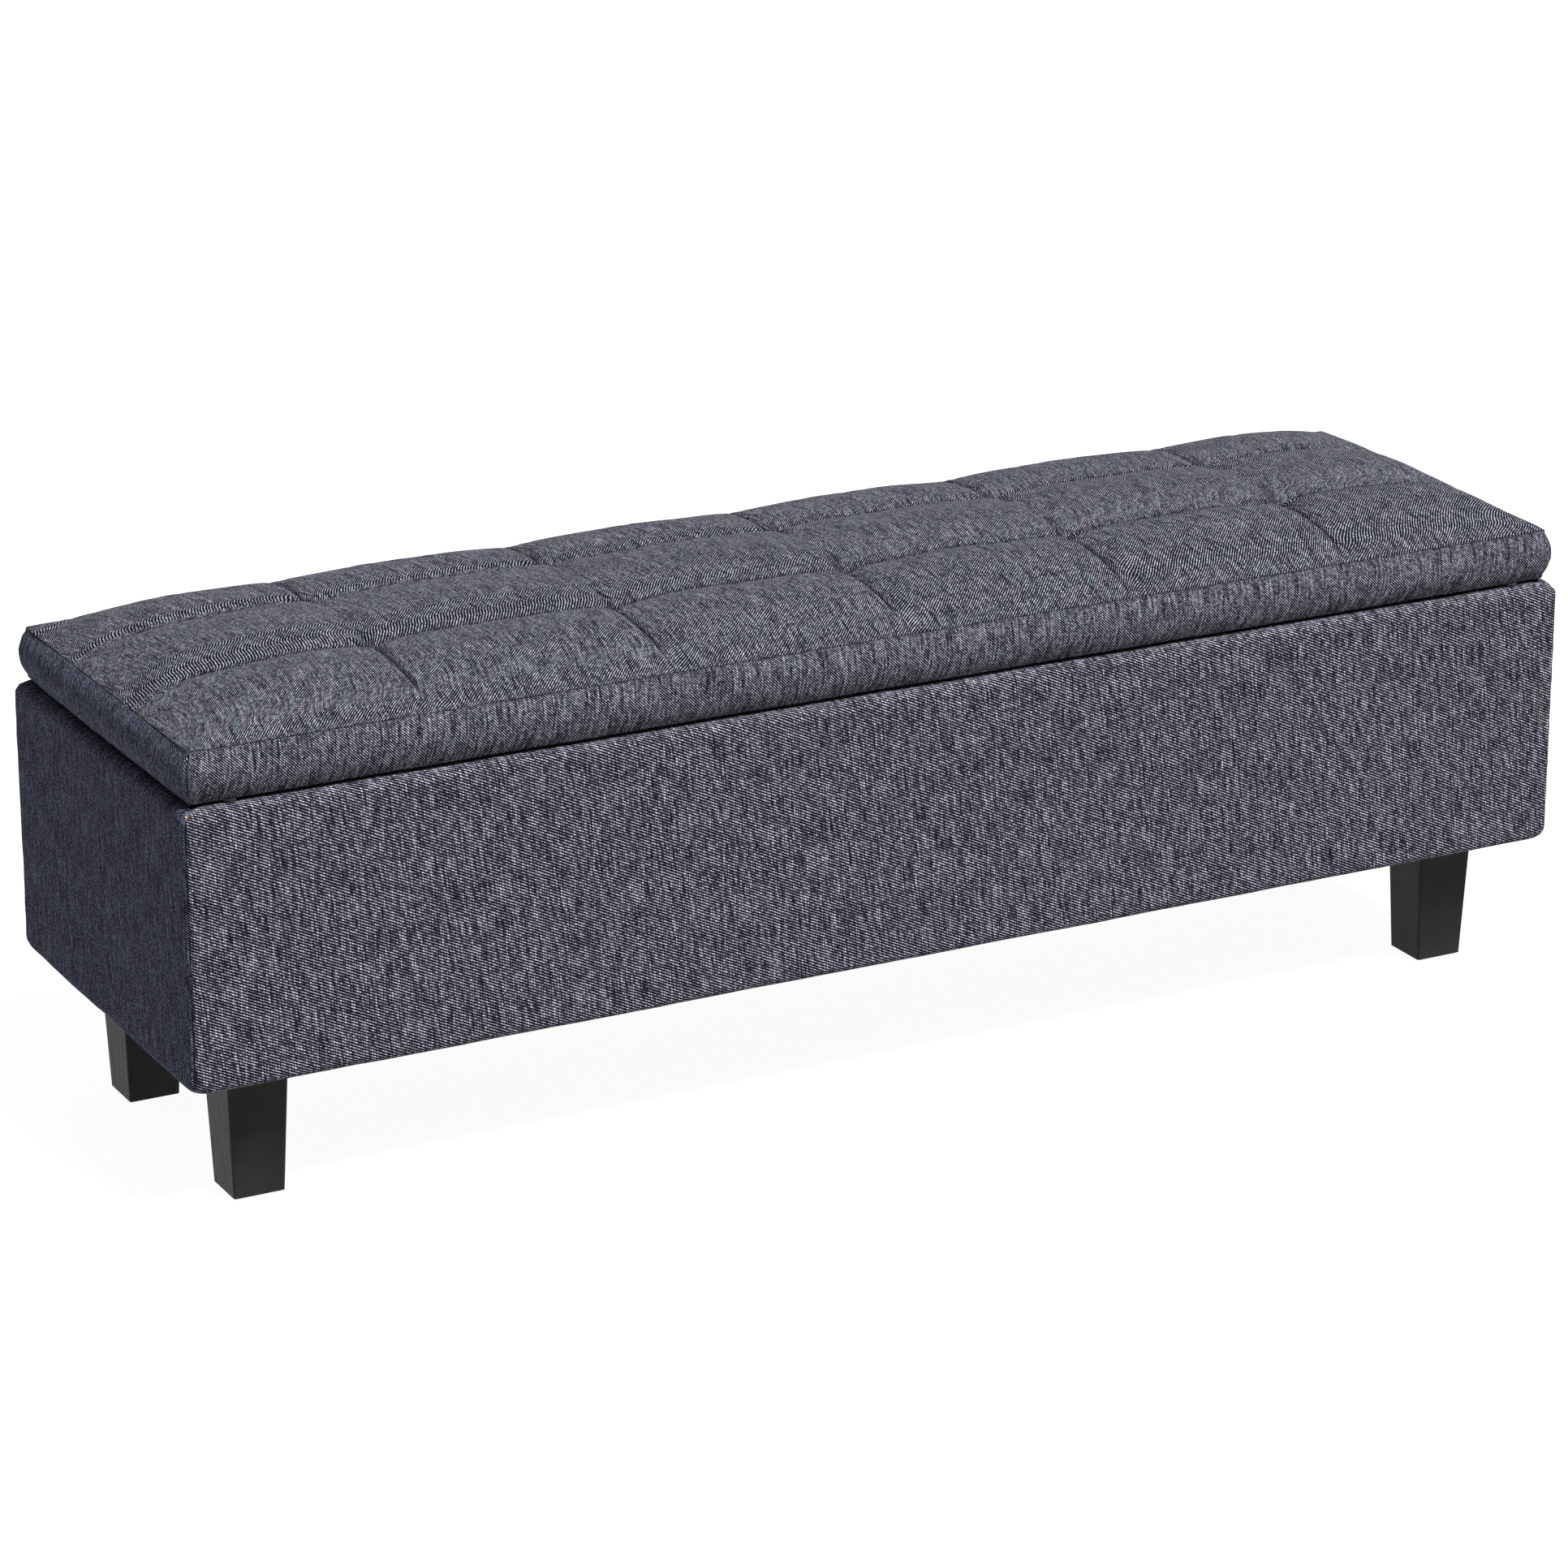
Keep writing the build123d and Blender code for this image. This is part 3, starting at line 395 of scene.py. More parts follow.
# ---- Upholstery run round the box and the lid ----
def sampled(corners, step, arc_step):
    """Points (inset, height) along straight runs with rounded corners, and the cloth's outward way there.

    A corner is its inset, its height and its radius; step and arc_step are the spacings to keep to.
    """
    points, normals = [], []

    def run(start, end):
        way = end - start
        length = np.linalg.norm(way)
        if length < SAME_PLACE:
            return
        way = way / length
        for share in np.linspace(0, 1, max(2, ceil(length / step) + 1)):
            points.append(start + way * length * share)
            normals.append(np.array([way[1], -way[0]]))

    places = [np.array(c[:2], float) for c in corners]
    last = places[0]
    for before, here, after, radius in zip(places, places[1:], places[2:], [c[2] for c in corners[1:]]):
        into, out = here - before, after - here
        into, out = into / np.linalg.norm(into), out / np.linalg.norm(out)
        turn = into[0] * out[1] - into[1] * out[0]
        half_turn = asin(np.clip(abs(turn), 0, 1)) / 2
        reach = radius * tan(half_turn)
        start, end = here - into * reach, here + out * reach
        run(last, start)
        side = 1 if turn > 0 else -1
        centre = start + side * radius * np.array([-into[1], into[0]])
        first = atan2(*(start - centre)[::-1])
        count = max(3, ceil(radius * 2 * half_turn / arc_step) + 1)
        for share in np.linspace(0, 1, count)[1:-1]:
            angle = first + side * share * 2 * half_turn
            spoke = np.array([cos(angle), sin(angle)])
            points.append(centre + radius * spoke)
            normals.append(side * spoke)
        last = end
    run(last, places[-1])
    points, normals = np.array(points), np.array(normals)
    keep = np.r_[True, np.linalg.norm(np.diff(points, axis=0), axis=1) > SAME_PLACE]
    return points[keep], normals[keep]


def columns_from_corner(straight):
    """Distances from the corner's arc to the middle of a side, closer together near the corner."""
    crowded, spacing = 54 * MM, 12 * MM
    near = crowded * np.linspace(0, 1, 20) ** 1.7
    rest = np.linspace(crowded, straight, ceil((straight - crowded) / spacing) + 1)
    return np.r_[near, rest[1:]]


def run_side(side, section, normals, corner_radius, seam_radius, shape):
    """One side of a cover: a section run along it to the seams on its corners' 45 degree lines.

    shape(from_seam, along, height, inset) gives how far the cloth stands out, in metres, and how
    much shade is painted into it there, 0 to 1.
    """
    outward = np.array([*SIDES[side], 0.0])
    rightward = np.cross((0, 0, 1), outward)
    half_along = half_length if abs(rightward[0]) > 0.5 else half_depth
    half_out = half_length + half_depth - half_along
    arcs = np.radians(np.array([45, 38, 30, 22, 14, 6]))     # round the corner, from its seam
    straight = half_along - corner_radius
    steps = columns_from_corner(straight)
    tilt = np.r_[arcs, np.zeros(len(steps))]
    along_share = np.r_[np.zeros(len(arcs)), steps / straight]
    tilt = np.r_[-tilt, tilt[::-1][1:]]
    reach = np.r_[along_share - 1, (1 - along_share)[::-1][1:]]
    inset, height = section[:, :1], section[:, 1:]
    radius = np.maximum(corner_radius - inset, seam_radius)
    along = reach * (half_along - inset - radius) + np.sin(tilt) * radius
    out = half_out - inset - radius + np.cos(tilt) * radius
    arc_length = corner_radius * (pi / 4 - np.abs(tilt))
    from_seam = arc_length + (1 - np.abs(reach)) * straight
    lengths = np.r_[0, np.cumsum(np.linalg.norm(np.diff(section, axis=0), axis=1))]
    points = (along[..., None] * rightward + out[..., None] * outward
              + (height + 0 * along)[..., None] * np.array((0, 0, 1)))
    plan = np.sin(tilt)[:, None] * rightward + np.cos(tilt)[:, None] * outward
    normal = (-normals[:, 0][:, None, None] * plan
              + normals[:, 1][:, None, None] * np.array((0, 0, 1.0)))
    stand, painted_shade = shape(from_seam + 0 * along, along, height + 0 * along, inset + 0 * along)
    points = points + normal * stand[..., None]
    cloth = np.stack([along, (lengths[-1] - lengths)[:, None] + 0 * along], -1)
    return points, cloth, painted_shade


def flat_size(cloth):
    """Width and length of the flat piece that the cloth was cut from."""
    span = cloth.reshape(-1, 2).max(0) - cloth.reshape(-1, 2).min(0)
    return float(span[0]), float(span[1])


def side_cover(name, side, section, normals, corner_radius, seam_radius, shape):
    """A mesh object for one side of a cover, and its flat size."""
    points, cloth, painted_shade = run_side(side, section, normals, corner_radius, seam_radius, shape)
    rows, columns = points.shape[:2]
    faces = grid_faces(rows, columns)[:, ::-1]
    return mesh_object(name, points, faces, cloth, painted_shade), flat_size(cloth)


seam_shade = 1.1 * MM        # how far to each side of a corner seam the painted shade reaches


def box_shape(side):
    """How far a side of the box's cover stands out, with its corner seams, puckers, slack and hems, and how
    much shade is painted along its corner seams.
    """
    seed = sorted(SIDES).index(side)

    def shape(from_seam, along, height, inset):
        face = smooth(inset, 9 * MM, 1 * MM)
        groove = -1.3 * MM * bell(from_seam, 1.5 * MM) - 0.5 * MM * fade(from_seam, 5 * MM)
        pull = ripple(height, along * 0, 17 * MM, 40 + seed)
        pucker = 0.55 * MM * pull * fade(from_seam, 13 * MM) * smooth(from_seam, 0, 5 * MM)
        slack = 0.5 * MM * ripple(along, height, 150 * MM, 50 + seed)
        hem = 0.35 * MM * ripple(along, height * 0, 42 * MM, 60 + seed) * (
            fade(height - box_bottom, 14 * MM) + 0.5 * fade(box_top - height, 10 * MM))
        # The box's own corners are rounded off where the seam runs over the edge.
        from_edge = np.minimum(box_top - height, height - box_bottom)
        rounded = -2.6 * MM * smooth(from_edge, 12 * MM, 0) * bell(from_seam, 8 * MM)
        stand = face * (groove + pucker + (slack + hem) * smooth(from_seam, 3 * MM, 30 * MM)) + rounded
        # Painted shade along the corner seams, 0 to 1.
        return stand, bell(from_seam, seam_shade) * 0.8

    return shape


box_section, box_normals = sampled([
    (board_inset + 0.2 * MM, flap_bottom, 0), (flap_inset, flap_bottom, 0.4 * MM),
    (flap_inset, box_top, 1.5 * MM), (0, box_top, 10 * MM), (0, box_bottom, 8 * MM),
    (board_inset, box_bottom, 1.2 * MM), (board_inset, board_bottom - 0.4 * MM, 0)],
    step=4 * MM, arc_step=1.6 * MM)
for side in SIDES:
    cover, flat = side_cover(f"box_{side}_upholstery", side, box_section, box_normals,
                             corner_radius=5 * MM, seam_radius=0.5 * MM, shape=box_shape(side))
    # The end covers take the darker, bluer copy of the cloth: painted shade.
    place(cover, "box", cloth_end_shaded if side.endswith("end") else cloth_front,
          [f"{side}_cover"])


def band_line():
    """The lid's side boxing, from its flap under the board up the bulge to the top seam.

    Its points are (inset, height), as sampled gives them, with the cloth's outward way at each.
    """
    rise = (lid_seam - lid_bottom) / 2
    bulge = (rise ** 2 + waist_inset ** 2) / (2 * waist_inset)
    reach = asin(rise / bulge)
    middle = (lid_bottom + lid_seam) / 2
    angles = np.linspace(-reach * 0.97, reach * 0.965, 30)
    arc = np.stack([bulge - bulge * np.cos(angles), middle + bulge * np.sin(angles)], -1)
    arc_out = np.stack([-np.cos(angles), np.sin(angles)], -1)
    under = np.array([(lid_flap_inset, lid_bottom + 1.3 * MM),
                      ((lid_flap_inset + lid_board_inset) / 2, lid_bottom + 1.3 * MM),
                      (lid_board_inset + 0.8 * MM, lid_bottom + 1.2 * MM),
                      (lid_board_inset - 0.3 * MM, lid_bottom + 0.25 * MM),
                      (waist_inset + 1.4 * MM, lid_bottom)])
    under_out = np.array([(0, -1), (0, -1), (0.3, -0.95), (0, -1), (-0.3, -0.95)], float)
    tuck = np.array([(waist_inset + 0.9 * MM, lid_seam - 0.35 * MM),
                     (waist_inset + 2.6 * MM, lid_seam - 1.3 * MM)])
    tuck_out = np.array([(-0.6, 0.8), (-0.3, 0.95)])
    return np.r_[under, arc, tuck], np.r_[under_out, arc_out, tuck_out]


def band_shape(side):
    """How far a side of the lid's boxing stands out, with its corner seams, puckers, slack and top seam,
    and how much shade is painted along its corner seams and top seam.
    """
    seed = sorted(SIDES).index(side)

    def shape(from_seam, along, height, inset):
        face = smooth(inset, waist_inset + 1 * MM, waist_inset - 2 * MM)
        groove = -1.5 * MM * bell(from_seam, 1.6 * MM) - 3.2 * MM * fade(from_seam, 38 * MM)
        pull = ripple(height, along * 0, 13 * MM, 70 + seed)
        pucker = 0.6 * MM * pull * fade(from_seam, 10 * MM) * smooth(from_seam, 0, 5 * MM)
        slack = 0.55 * MM * ripple(along, height * 1.5, 110 * MM, 80 + seed)
        stitch = 0.3 * MM * ripple(along, height * 0, 11 * MM, 90 + seed) * (
            fade(lid_seam - height, 5 * MM))
        stand = face * (groove + pucker) + smooth(inset, waist_inset + 3 * MM, waist_inset) * (
            (slack * face + stitch) * smooth(from_seam, 3 * MM, 25 * MM))
        # Painted shade along the corner seams and the top seam, 0 to 1.
        top_seam_painted_shade = fade(np.maximum(lid_seam - height, 0), 1.3 * MM)
        return stand, np.maximum(0.8 * bell(from_seam, seam_shade), 0.5 * top_seam_painted_shade)

    return shape


band_section, band_normals = band_line()
for side in SIDES:
    band, flat = side_cover(f"lid_{side}_boxing", side, band_section, band_normals,
                            corner_radius=13 * MM, seam_radius=3 * MM, shape=band_shape(side))
    # The end bands take the darker, bluer copy of the cloth: painted shade.
    place(band, "lid", cloth_band_end_shaded if side.endswith("end") else cloth_band,
          [f"lid_{side}_band"])


# ---- The quilted cushion ----
edge_x, edge_y = half_length - waist_inset, half_depth - waist_inset
cell = 4.9 * MM              # the simulation's grid
crown_reach = 45 * MM        # how far from a seam the crown takes to climb
puff_rise = 4 * MM           # how far each square stands above the crown
crown_rise = lid_crest - lid_seam - puff_rise
tuft_depth = 12.5 * MM       # below the crown
seam_depth, slack_seam_depth = 3.2 * MM, 0.6 * MM       # half way between tufts, and in the middle row
sewn_reach = 38 * MM         # how far into the middle row a seam across is sewn
valley_reach = 9 * MM        # how far the foam is pressed down beside a seam
swelling, farthest_swell = 0.4, 3 * MM                  # share of the simulated swelling that is kept


def grid_line(places, step):
    """Coordinates through all the places, evenly spaced between each two."""
    line = [np.array([places[0]])]
    for low, high in zip(places, places[1:]):
        line.append(np.linspace(low, high, max(2, round((high - low) / step) + 1))[1:])
    return np.concatenate(line)


seams_x = [column * tuft_x for column in tuft_columns]
seams_y = [row * tuft_y for row in tuft_rows]
creases_x, creases_y = [-edge_x, *seams_x, edge_x], [-edge_y, *seams_y, edge_y]
sim_x, sim_y = grid_line(creases_x, cell), grid_line(creases_y, cell)


def unquilted(x, y):
    """The cushion's crown before it is quilted: it climbs gently from its four seams to a flat middle."""
    across = 1 - fade(edge_y - np.abs(y), crown_reach)
    along = 1 - fade(edge_x - np.abs(x), crown_reach)
    return lid_seam + crown_rise * across * along


def between_seams(values, creases):
    """0 at each seam and edge, 1 half way between two, along one direction."""
    marks = np.array(creases)
    i = np.clip(np.searchsorted(marks, values, "right") - 1, 0, len(marks) - 2)
    t = (values - marks[i]) / (marks[i + 1] - marks[i])
    return 1 - (2 * t - 1) ** 2


def nearest(values, seams):
    """Distance to the nearest of the seams, along one direction."""
    return np.min([np.abs(values - seam) for seam in seams], 0)


def quilted():
    """The simulation grid, its heights with the foam pressed down at the seams, and what is sewn."""
    x, y = np.meshgrid(sim_x, sim_y)
    crown = unquilted(x, y)
    from_end, from_side = edge_x - np.abs(x), edge_y - np.abs(y)
    border = np.minimum(from_end, from_side) < SAME_PLACE
    near_x, near_y = nearest(x, seams_x), nearest(y, seams_y)
    # How far each seam is sewn below the crown: deepest at the tufts, shallow half way between.
    shallow = np.where(np.abs(y) < tuft_y, slack_seam_depth, seam_depth)
    across_depth = ((shallow + (tuft_depth - shallow) * fade(near_y, 19 * MM))
                    * smooth(from_side, 4 * MM, 70 * MM))
    long_depth = ((seam_depth + (tuft_depth - seam_depth) * fade(near_x, 24 * MM))
                  * smooth(from_end, 8 * MM, 80 * MM))
    # The seams across are sewn down only near the tufts and outside them, not in the middle row.
    on_across = (near_x < SAME_PLACE) & (np.abs(y) > tuft_y - sewn_reach)
    on_long = near_y < SAME_PLACE
    puff = between_seams(x, creases_x) * between_seams(y, creases_y)
    target = crown + puff_rise * puff
    surface = np.where(on_across, crown - across_depth, np.where(on_long, crown - long_depth, target))
    surface = np.where(on_across & on_long, crown - tuft_depth, surface)
    fixed = on_across | on_long | border
    surface = np.where(border, lid_seam, surface)
    # A membrane on springs: between the sewn lines the cover eases back up to its target.
    weight = (valley_reach / cell) ** 2
    for _ in range(120):
        around = surface[:-2, 1:-1] + surface[2:, 1:-1] + surface[1:-1, :-2] + surface[1:-1, 2:]
        moved = (weight * around + target[1:-1, 1:-1]) / (4 * weight + 1)
        surface[1:-1, 1:-1] = np.where(fixed[1:-1, 1:-1], surface[1:-1, 1:-1], moved)
    return x, y, surface, fixed


def inflate(points, pinned):
    """Cloth simulation: the cover swells between its sewn lines. Returns the moved points."""
    rows, columns = points.shape[:2]
    trial = mesh_object("trial", points, grid_faces(rows, columns))
    group = trial.vertex_groups.new(name="sewn")
    group.add([int(i) for i in np.flatnonzero(pinned.ravel())], 1.0, "REPLACE")
    cloth = trial.modifiers.new("Cloth", "CLOTH")
    settings = cloth.settings
    settings.quality = 7
    settings.mass = 0.25
    settings.tension_stiffness = settings.compression_stiffness = 22
    settings.shear_stiffness = 6
    settings.bending_stiffness = 0.4
    settings.vertex_group_mass = "sewn"
    settings.shrink_min = -0.012
    settings.use_pressure = True
    settings.uniform_pressure_force = 4
    settings.effector_weights.gravity = 0
    scene = bpy.context.scene
    frames = 20
    for number in range(1, frames + 1):
        scene.frame_set(number)
    shaped = trial.evaluated_get(bpy.context.evaluated_depsgraph_get()).to_mesh()
    moved = np.zeros(len(shaped.vertices) * 3, np.float32)
    shaped.vertices.foreach_get("co", moved)
    moved = moved.reshape(rows, columns, 3).astype(float)
    scene.frame_set(1)
    bpy.data.objects.remove(trial)
    step = swelling * (moved - points)
    size = np.linalg.norm(step, axis=-1, keepdims=True)
    return points + step * np.minimum(1, farthest_swell / np.maximum(size, NOT_ZERO))


def laid_between(coarse, fine, creases):
    """Matrix that reads a line of values at coarse places onto fine places, by a cubic through them.

    The cubic is broken at the creases, so that the cloth can turn sharply there.
    """
    made = np.zeros((len(fine), len(coarse)))
    broken = [bool(np.min(np.abs(np.array(creases) - at)) < SAME_PLACE) for at in coarse]
    cells = np.clip(np.searchsorted(coarse, fine, "right") - 1, 0, len(coarse) - 2)
    for row, (i, at) in enumerate(zip(cells, fine)):
        t = (at - coarse[i]) / (coarse[i + 1] - coarse[i])
        before, here, after, beyond = (0.5 * (-t + 2 * t * t - t ** 3), 0.5 * (2 - 5 * t * t + 3 * t ** 3),
                                       0.5 * (t + 4 * t * t - 3 * t ** 3), 0.5 * (-t * t + t ** 3))
        if broken[i]:
            here, after, before = here + 2 * before, after - before, 0
        if broken[i + 1]:
            after, here, beyond = after + 2 * beyond, here - beyond, 0
        made[row, i] += here
        made[row, i + 1] += after
        if before:
            made[row, i - 1] += before
        if beyond:
            made[row, i + 2] += beyond
    return made


def fine_line(places):
    """Coordinates that crowd together at the seams and edges, where the cloth turns sharply."""
    crowded, spacing = 11 * MM, 3.4 * MM
    steps = crowded * np.linspace(0, 1, 9) ** 1.5
    line = []
    for low, high in zip(places, places[1:]):
        count = round((high - low - 2 * steps[-1]) / spacing) + 1
        inner = np.linspace(low + steps[-1], high - steps[-1], count)
        line.append(np.r_[low + steps[:-1], inner, (high - steps[:-1])[::-1]])
    return np.unique(np.round(np.concatenate(line), 7))


sim_xx, sim_yy, sim_z, sewn = quilted()
cover_points = np.stack([sim_xx, sim_yy, sim_z], -1)
cover_points = inflate(cover_points, sewn)
line_x, line_y = fine_line(creases_x), fine_line(creases_y)
read_x, read_y = laid_between(sim_x, line_x, creases_x), laid_between(sim_y, line_y, creases_y)
top = np.stack([read_y @ cover_points[..., k] @ read_x.T for k in range(3)], -1)


def corner_pull(points):
    """Rounds the plan's four corners a little."""
    reach, inwards = 22 * MM, 1.6
    x, y = points[..., 0], points[..., 1]
    near = smooth(np.abs(x), edge_x - reach, edge_x) * smooth(np.abs(y), edge_y - reach, edge_y)
    points[..., 0] -= np.sign(x) * near * inwards * MM
    points[..., 1] -= np.sign(y) * near * inwards * MM
    return points


def seam_detail(points):
    """Sinks the sewn lines, puckers the cloth beside them and folds it into the tufts.

    Gives the points, and how much shade is painted into each one at the seams, the tufts and the edge.
    """
    x, y = np.meshgrid(line_x, line_y)
    from_side, from_end = edge_y - np.abs(y), edge_x - np.abs(x)
    from_edge = np.minimum(from_end, from_side)
    near_x, near_y = nearest(x, seams_x), nearest(y, seams_y)
    middle_fade = np.where(np.abs(y) < tuft_y, fade(near_y, 17 * MM), 1.0)
    side_fade = smooth(from_side, 6 * MM, 34 * MM) * middle_fade
    end_fade = smooth(from_end, 12 * MM, 50 * MM)
    groove = (3.0 * MM * fade(near_x, 1.2 * MM) * side_fade
              + 2.8 * MM * fade(near_y, 1.1 * MM) * end_fade)
    pucker = 0.45 * MM * (
        ripple(y, x * 0.2, 13 * MM, 7) * fade(near_x, 8 * MM) * side_fade
        + ripple(x, y * 0.2, 13 * MM, 8) * fade(near_y, 8 * MM) * end_fade)
    edge_pull = (0.4 * MM * ripple(x, y, 11 * MM, 9) * fade(from_edge, 6 * MM)
                 * smooth(from_edge, 0, 2 * MM))
    folds, tuft_painted_shade = np.zeros_like(x), np.zeros_like(x)
    for seam_x in seams_x:
        for seam_y in seams_y:
            dx, dy = x - seam_x, y - seam_y
            r = np.sqrt(dx * dx + dy * dy) + NOT_ZERO
            way = np.arctan2(dy, dx)
            phase = 1.7 * sin(91 * seam_x + 37 * seam_y)          # differs from tuft to tuft
            ridge = np.cos(4 * way + pi) * 0.7 + np.cos(7 * way + phase) * 0.45
            folds += 1.5 * MM * ridge * bell(r - 11 * MM, 7 * MM)
            folds -= 3.2 * MM * bell(r, 4.5 * MM)
            tuft_painted_shade += bell(r, 5 * MM)
    slack = 0.8 * MM * ripple(x, y, 85 * MM, 10) * smooth(from_edge, 4 * MM, 40 * MM)
    points[..., 2] += -groove + pucker + edge_pull + folds + slack
    # Shade painted along the seams, into the tufts and round the edge, 0 to 1.
    across_seam_painted_shade = bell(near_x, 1.3 * MM) * smooth(from_side, 10 * MM, 30 * MM) * middle_fade
    long_seam_painted_shade = bell(near_y, 2.2 * MM) * smooth(from_end, 20 * MM, 60 * MM)
    edge_painted_shade = 0.5 * fade(from_edge, 1.2 * MM)
    return points, np.max([0.8 * across_seam_painted_shade, long_seam_painted_shade, edge_painted_shade, 0.9 * tuft_painted_shade], 0)


top, top_painted_shade = seam_detail(corner_pull(top))


def rim_of(index):
    """The grid's outline, once round from its first corner."""
    return np.r_[index[0, :-1], index[:-1, -1], index[-1, :0:-1], index[:0:-1, 0]]


def closed_cushion(surface):
    """The quilted top with its sides tucked inside the boxing and a flat underside on the board."""
    rows, columns = surface.shape[:2]
    last = rim_of(np.arange(rows * columns).reshape(rows, columns))
    border = surface.reshape(-1, 3)[last]
    on_edge = 3 * MM             # the rounded corners stand in from the edge by less
    inward = np.stack([-np.sign(border[:, 0]) * (np.abs(border[:, 0]) > edge_x - on_edge),
                       -np.sign(border[:, 1]) * (np.abs(border[:, 1]) > edge_y - on_edge)], -1)
    # Each ring down the side: its inset in millimetres and its height.
    levels = [(2.2, lid_seam - 1.0 * MM), (3.4, lid_seam - 4 * MM), (3.6, lid_board_high.z + 2 * MM),
              (4.2, lid_board_high.z + 0.2 * MM)]
    points, faces, count = [surface.reshape(-1, 3)], [grid_faces(rows, columns).tolist()], len(last)
    start = rows * columns
    for inset, z in levels:
        level = border.copy()
        level[:, :2] += inward * inset * MM
        level[:, 2] = z
        points.append(level)
        these = start + np.arange(count)
        faces.append([[int(these[i]), int(these[(i + 1) % count]), int(last[(i + 1) % count]), int(last[i])]
                      for i in range(count)])
        last, start = these, start + count
    # The underside: a strip of quads across, and one long face for each end.
    low, right, high, left = (last[:columns], last[columns - 1:columns + rows - 1],
                              last[columns + rows - 2:2 * columns + rows - 2][::-1],
                              np.r_[last[2 * columns + rows - 3:], last[0]])
    faces.append([[int(low[i + 1]), int(low[i]), int(high[i]), int(high[i + 1])]
                  for i in range(1, columns - 2)])
    faces.append([[int(low[1]), *map(int, left[::-1]), int(high[1])]])
    faces.append([[int(high[-2]), *map(int, right[::-1]), int(low[-2])]])
    return np.concatenate(points), [f for group in faces for f in group]


def cloth_lengths(surface):
    """Coordinates measured over the surface, so that the weave keeps its scale on slopes."""
    def walk(points, middle):
        steps = np.linalg.norm(np.diff(points, axis=1), axis=-1)
        run = np.concatenate([np.zeros((len(points), 1)), np.cumsum(steps, 1)], 1)
        return run - run[:, middle:middle + 1]
    u = walk(surface, surface.shape[1] // 2)
    v = walk(surface.transpose(1, 0, 2), surface.shape[0] // 2).T
    return np.stack([u, v], -1)


cushion_points, cushion_faces = closed_cushion(top)
cushion_cloth = cloth_lengths(top).reshape(-1, 2)
tucked = cushion_points[len(cushion_cloth):]
cushion_cloth = np.r_[cushion_cloth, np.stack([tucked[:, 0], tucked[:, 1] + tucked[:, 2]], -1)]
# The sides tucked inside the boxing get the full painted shade.
cushion_painted_shade = np.r_[top_painted_shade.ravel(), np.ones(len(tucked))]
cushion = mesh_object("lid_quilted_cushion", cushion_points, cushion_faces, cushion_cloth, cushion_painted_shade)
place(cushion, "lid", cloth_top, ["lid_top_cover", "lid_foam"])


# ---- Twine through the cushion ----
def tuft_ties(surface):
    """Two-ply twine with a washer under the board, ending just under the cloth at each tuft."""
    across, along = ([int(np.argmin(np.abs(line - s))) for s in seams]
                     for line, seams in ((line_x, seams_x), (line_y, seams_y)))
    lowest_tuft = float(surface[np.ix_(along, across)][..., 2].min())
    low, high = lid_board_low.z, min(tie_high.z, lowest_tuft) - 1 * MM
    strand, lay = 0.5 * MM, 0.42 * MM             # a ply's radius, and how far it lies off the middle
    turns, ring, around = 9, 6, 24                # the twist, and points round a ply and the washer
    steps = turns * 8
    # The washer's section, with a rolled rim: shares of its radius, and heights in millimetres.
    rim = [(0.2, 0.1), (0.55, 0.0), (0.92, 0.05), (1, 0.4), (0.92, 0.8), (0.55, 0.85), (0.2, 0.75)]
    points, faces = [], []
    start = 0
    for column in tuft_columns:
        for row in tuft_rows:
            middle = np.array((column * tuft_x, row * tuft_y))
            for twist in (0, pi):
                for step in range(steps + 1):
                    share = step / steps
                    angle = 2 * pi * turns * share + twist
                    centre = middle + lay * np.array((cos(angle), sin(angle)))
                    for spoke in range(ring):
                        way = 2 * pi * spoke / ring
                        points.append((*(centre + strand * np.array((cos(way), sin(way)))),
                                       low + (high - low) * share))
                index = start + np.arange((steps + 1) * ring).reshape(steps + 1, ring)
                faces += grid_faces(steps + 1, ring, start).tolist()
                faces += [[int(a), int(b), int(c), int(d)] for a, b, c, d in
                          zip(index[:-1, -1], index[:-1, 0], index[1:, 0], index[1:, -1])]
                faces += [index[0, ::-1].tolist(), index[-1].tolist()]
                start += (steps + 1) * ring
            for spoke in range(around):
                way = 2 * pi * spoke / around
                for share, z in rim:
                    radius = washer_radius * share
                    points.append((middle[0] + radius * cos(way), middle[1] + radius * sin(way),
                                   tie_low.z + z * MM))
            for spoke in range(around):
                a, b = start + spoke * len(rim), start + (spoke + 1) % around * len(rim)
                for k in range(len(rim)):
                    n = (k + 1) % len(rim)
                    faces.append([a + k, a + n, b + n, b + k])
            start += around * len(rim)
    return points, faces


ties = mesh_object("lid_twine_ties", *tuft_ties(top))
place(ties, "lid", twine_fibre("twine"), ["lid_tuft_ties"])


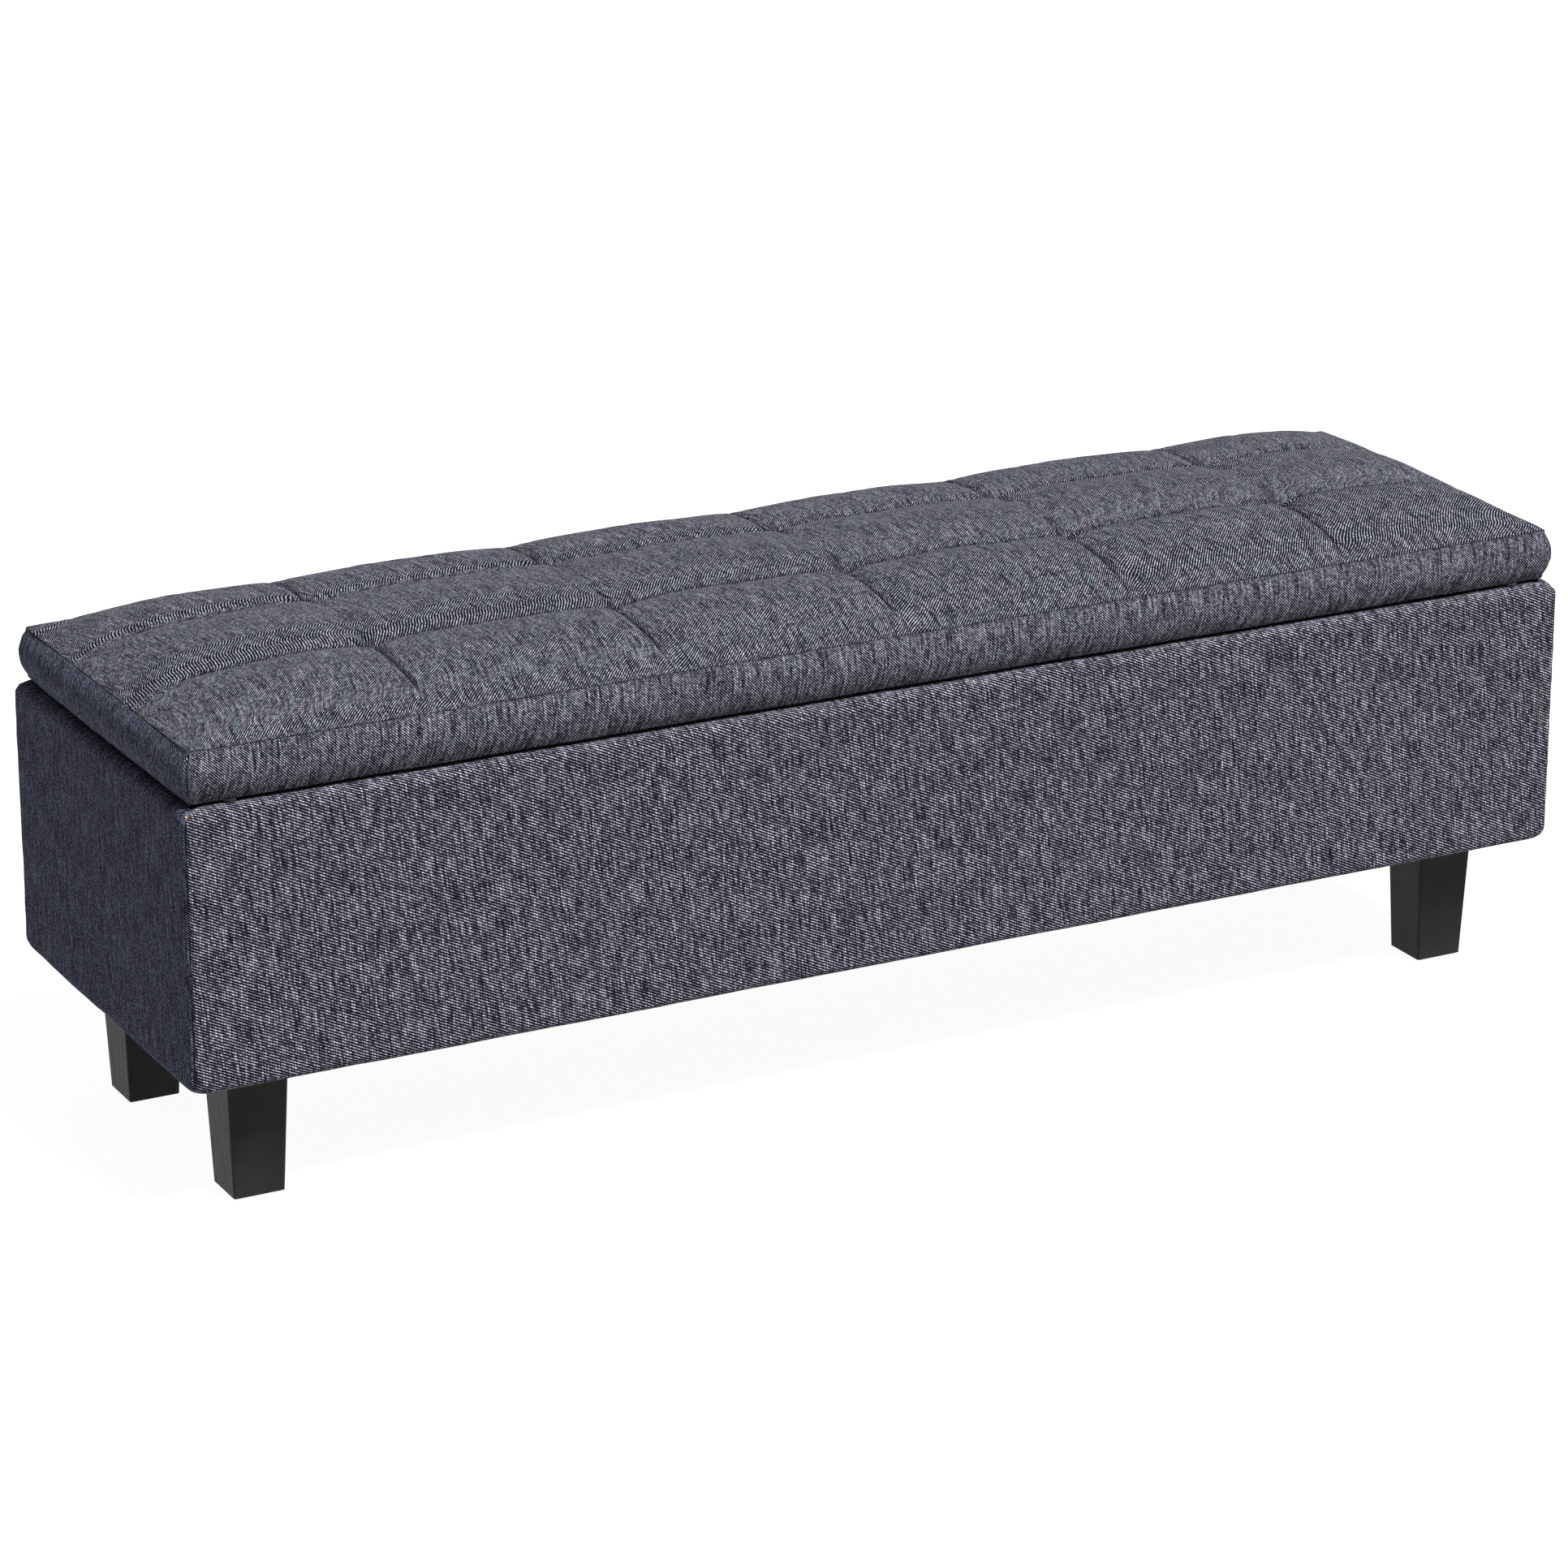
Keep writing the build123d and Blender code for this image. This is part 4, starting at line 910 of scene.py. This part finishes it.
# ---- Linings ----
def lining(name, node, facing, body):
    """A thin woven sheet in the node's place, slightly creased on the side that shows."""
    low, high = (np.array(c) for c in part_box(node))
    facing = np.array(facing, float)
    axis = int(np.argmax(np.abs(facing)))
    along, up = [k for k in range(3) if k != axis]
    size, cell_size = high - low, 14 * MM
    counts = [max(2, ceil(size[k] / cell_size) + 1) for k in (along, up)]
    a, b = np.meshgrid(np.linspace(low[along], high[along], counts[0]),
                       np.linspace(low[up], high[up], counts[1]))
    outer, inner = (high, low) if facing[axis] > 0 else (low, high)
    crease = 0.30 * MM * (0.5 + 0.5 * ripple(a, b, 120 * MM, sum(map(ord, name))))
    points = np.zeros((2, *a.shape, 3))
    points[..., along], points[..., up] = a, b
    points[0, ..., axis] = outer[axis] - np.sign(facing[axis]) * np.clip(crease, 0, size[axis] * 0.6)
    points[1, ..., axis] = inner[axis]
    rows, columns = a.shape
    front = grid_faces(rows, columns)
    turned = np.cross(np.eye(3)[along], np.eye(3)[up]) @ facing > 0
    front = front if turned else front[:, ::-1]
    back = grid_faces(rows, columns, rows * columns)
    back = back[:, ::-1] if turned else back
    ring = rim_of(np.arange(rows * columns).reshape(rows, columns))
    after = np.roll(ring, -1)
    rim = np.stack([ring, ring + rows * columns, after + rows * columns, after], -1)
    rim = rim if turned else rim[:, ::-1]
    cloth = np.stack([a, b], -1)
    made = mesh_object(name, points, np.r_[front, back, rim].tolist(), np.stack([cloth, cloth]))
    place(made, body, black_lining, [node])


for side, outward in SIDES.items():
    lining(f"well_{side}_lining", f"{side}_lining", (-outward[0], -outward[1], 0), "box")
lining("well_floor_lining", "floor_lining", (0, 0, 1), "box")
lining("under_dust_cover", "dust_cover", (0, 0, -1), "box")
lining("lid_under_lining", "lid_lining", (0, 0, -1), "lid")


# ---- Studio ----
def pale_floor(name):
    """A floor that glows, so that it shows almost white with hardly a shadow, as in the photograph."""
    g = Graph(name)
    at = g.objects_place()
    cloud = g.noise(at, 3, 2, 0.5)
    grain = g.noise(at, 900, 2, 0.5)
    return g.finish(Base_Color=g.mix(cloud, (0.095, 0.095, 0.095, 1), (0.105, 0.105, 0.105, 1)),
                    Roughness=g.spread(grain, 0.3, 0.7, 0.85, 0.95), Specular_IOR_Level=0.1,
                    Emission_Color=WHITE, Emission_Strength=0.95)


def soft_sun(name, towards, spread, strength):
    """A broad soft light; towards points from the object to the light, spread is in degrees."""
    light = bpy.data.lights.new(name, "SUN")
    light.angle, light.energy = radians(spread), strength
    lamp = bpy.data.objects.new(name, light)
    lamp.rotation_euler = Vector(towards).to_track_quat("Z", "Y").to_euler()
    bpy.context.scene.collection.objects.link(lamp)


scene = bpy.context.scene
floor_half, floor_gap = 30.0, 0.2 * MM
floor = mesh_object("floor", [(-floor_half, -floor_half, 0), (floor_half, -floor_half, 0),
                              (floor_half, floor_half, 0), (-floor_half, floor_half, 0)], [(0, 1, 2, 3)])
floor.location.z = -floor_gap
floor.data.materials.append(pale_floor("pale_floor"))

world = bpy.data.worlds.new("studio")
world.use_nodes = True
background = world.node_tree.nodes["Background"]
background.inputs["Color"].default_value = WHITE
background.inputs["Strength"].default_value = 0.35
scene.world = world
soft_sun("key", towards=(0.20, -0.50, 0.84), spread=15, strength=9.5)
scene.view_settings.view_transform = "Standard"

# ---- Camera: fitted to the photograph's view of the box's corners, legs and lid seams ----
turn, descent = radians(27.72), radians(19.475)
way = Vector((sin(turn) * cos(descent), cos(turn) * cos(descent), -sin(descent)))
distance = 4.8213
aim = (cad_low + cad_high) / 2 + Vector((-0.0170, 0.0084, -0.0027))
camera = bpy.data.objects.new("camera", bpy.data.cameras.new("camera"))
camera.data.lens, camera.data.sensor_width = 127.776, 36
camera.data.clip_start, camera.data.clip_end = 0.1, 100
camera.location = aim - way * distance
camera.rotation_euler = way.to_track_quat("-Z", "Y").to_euler()
scene.collection.objects.link(camera)
scene.camera = camera
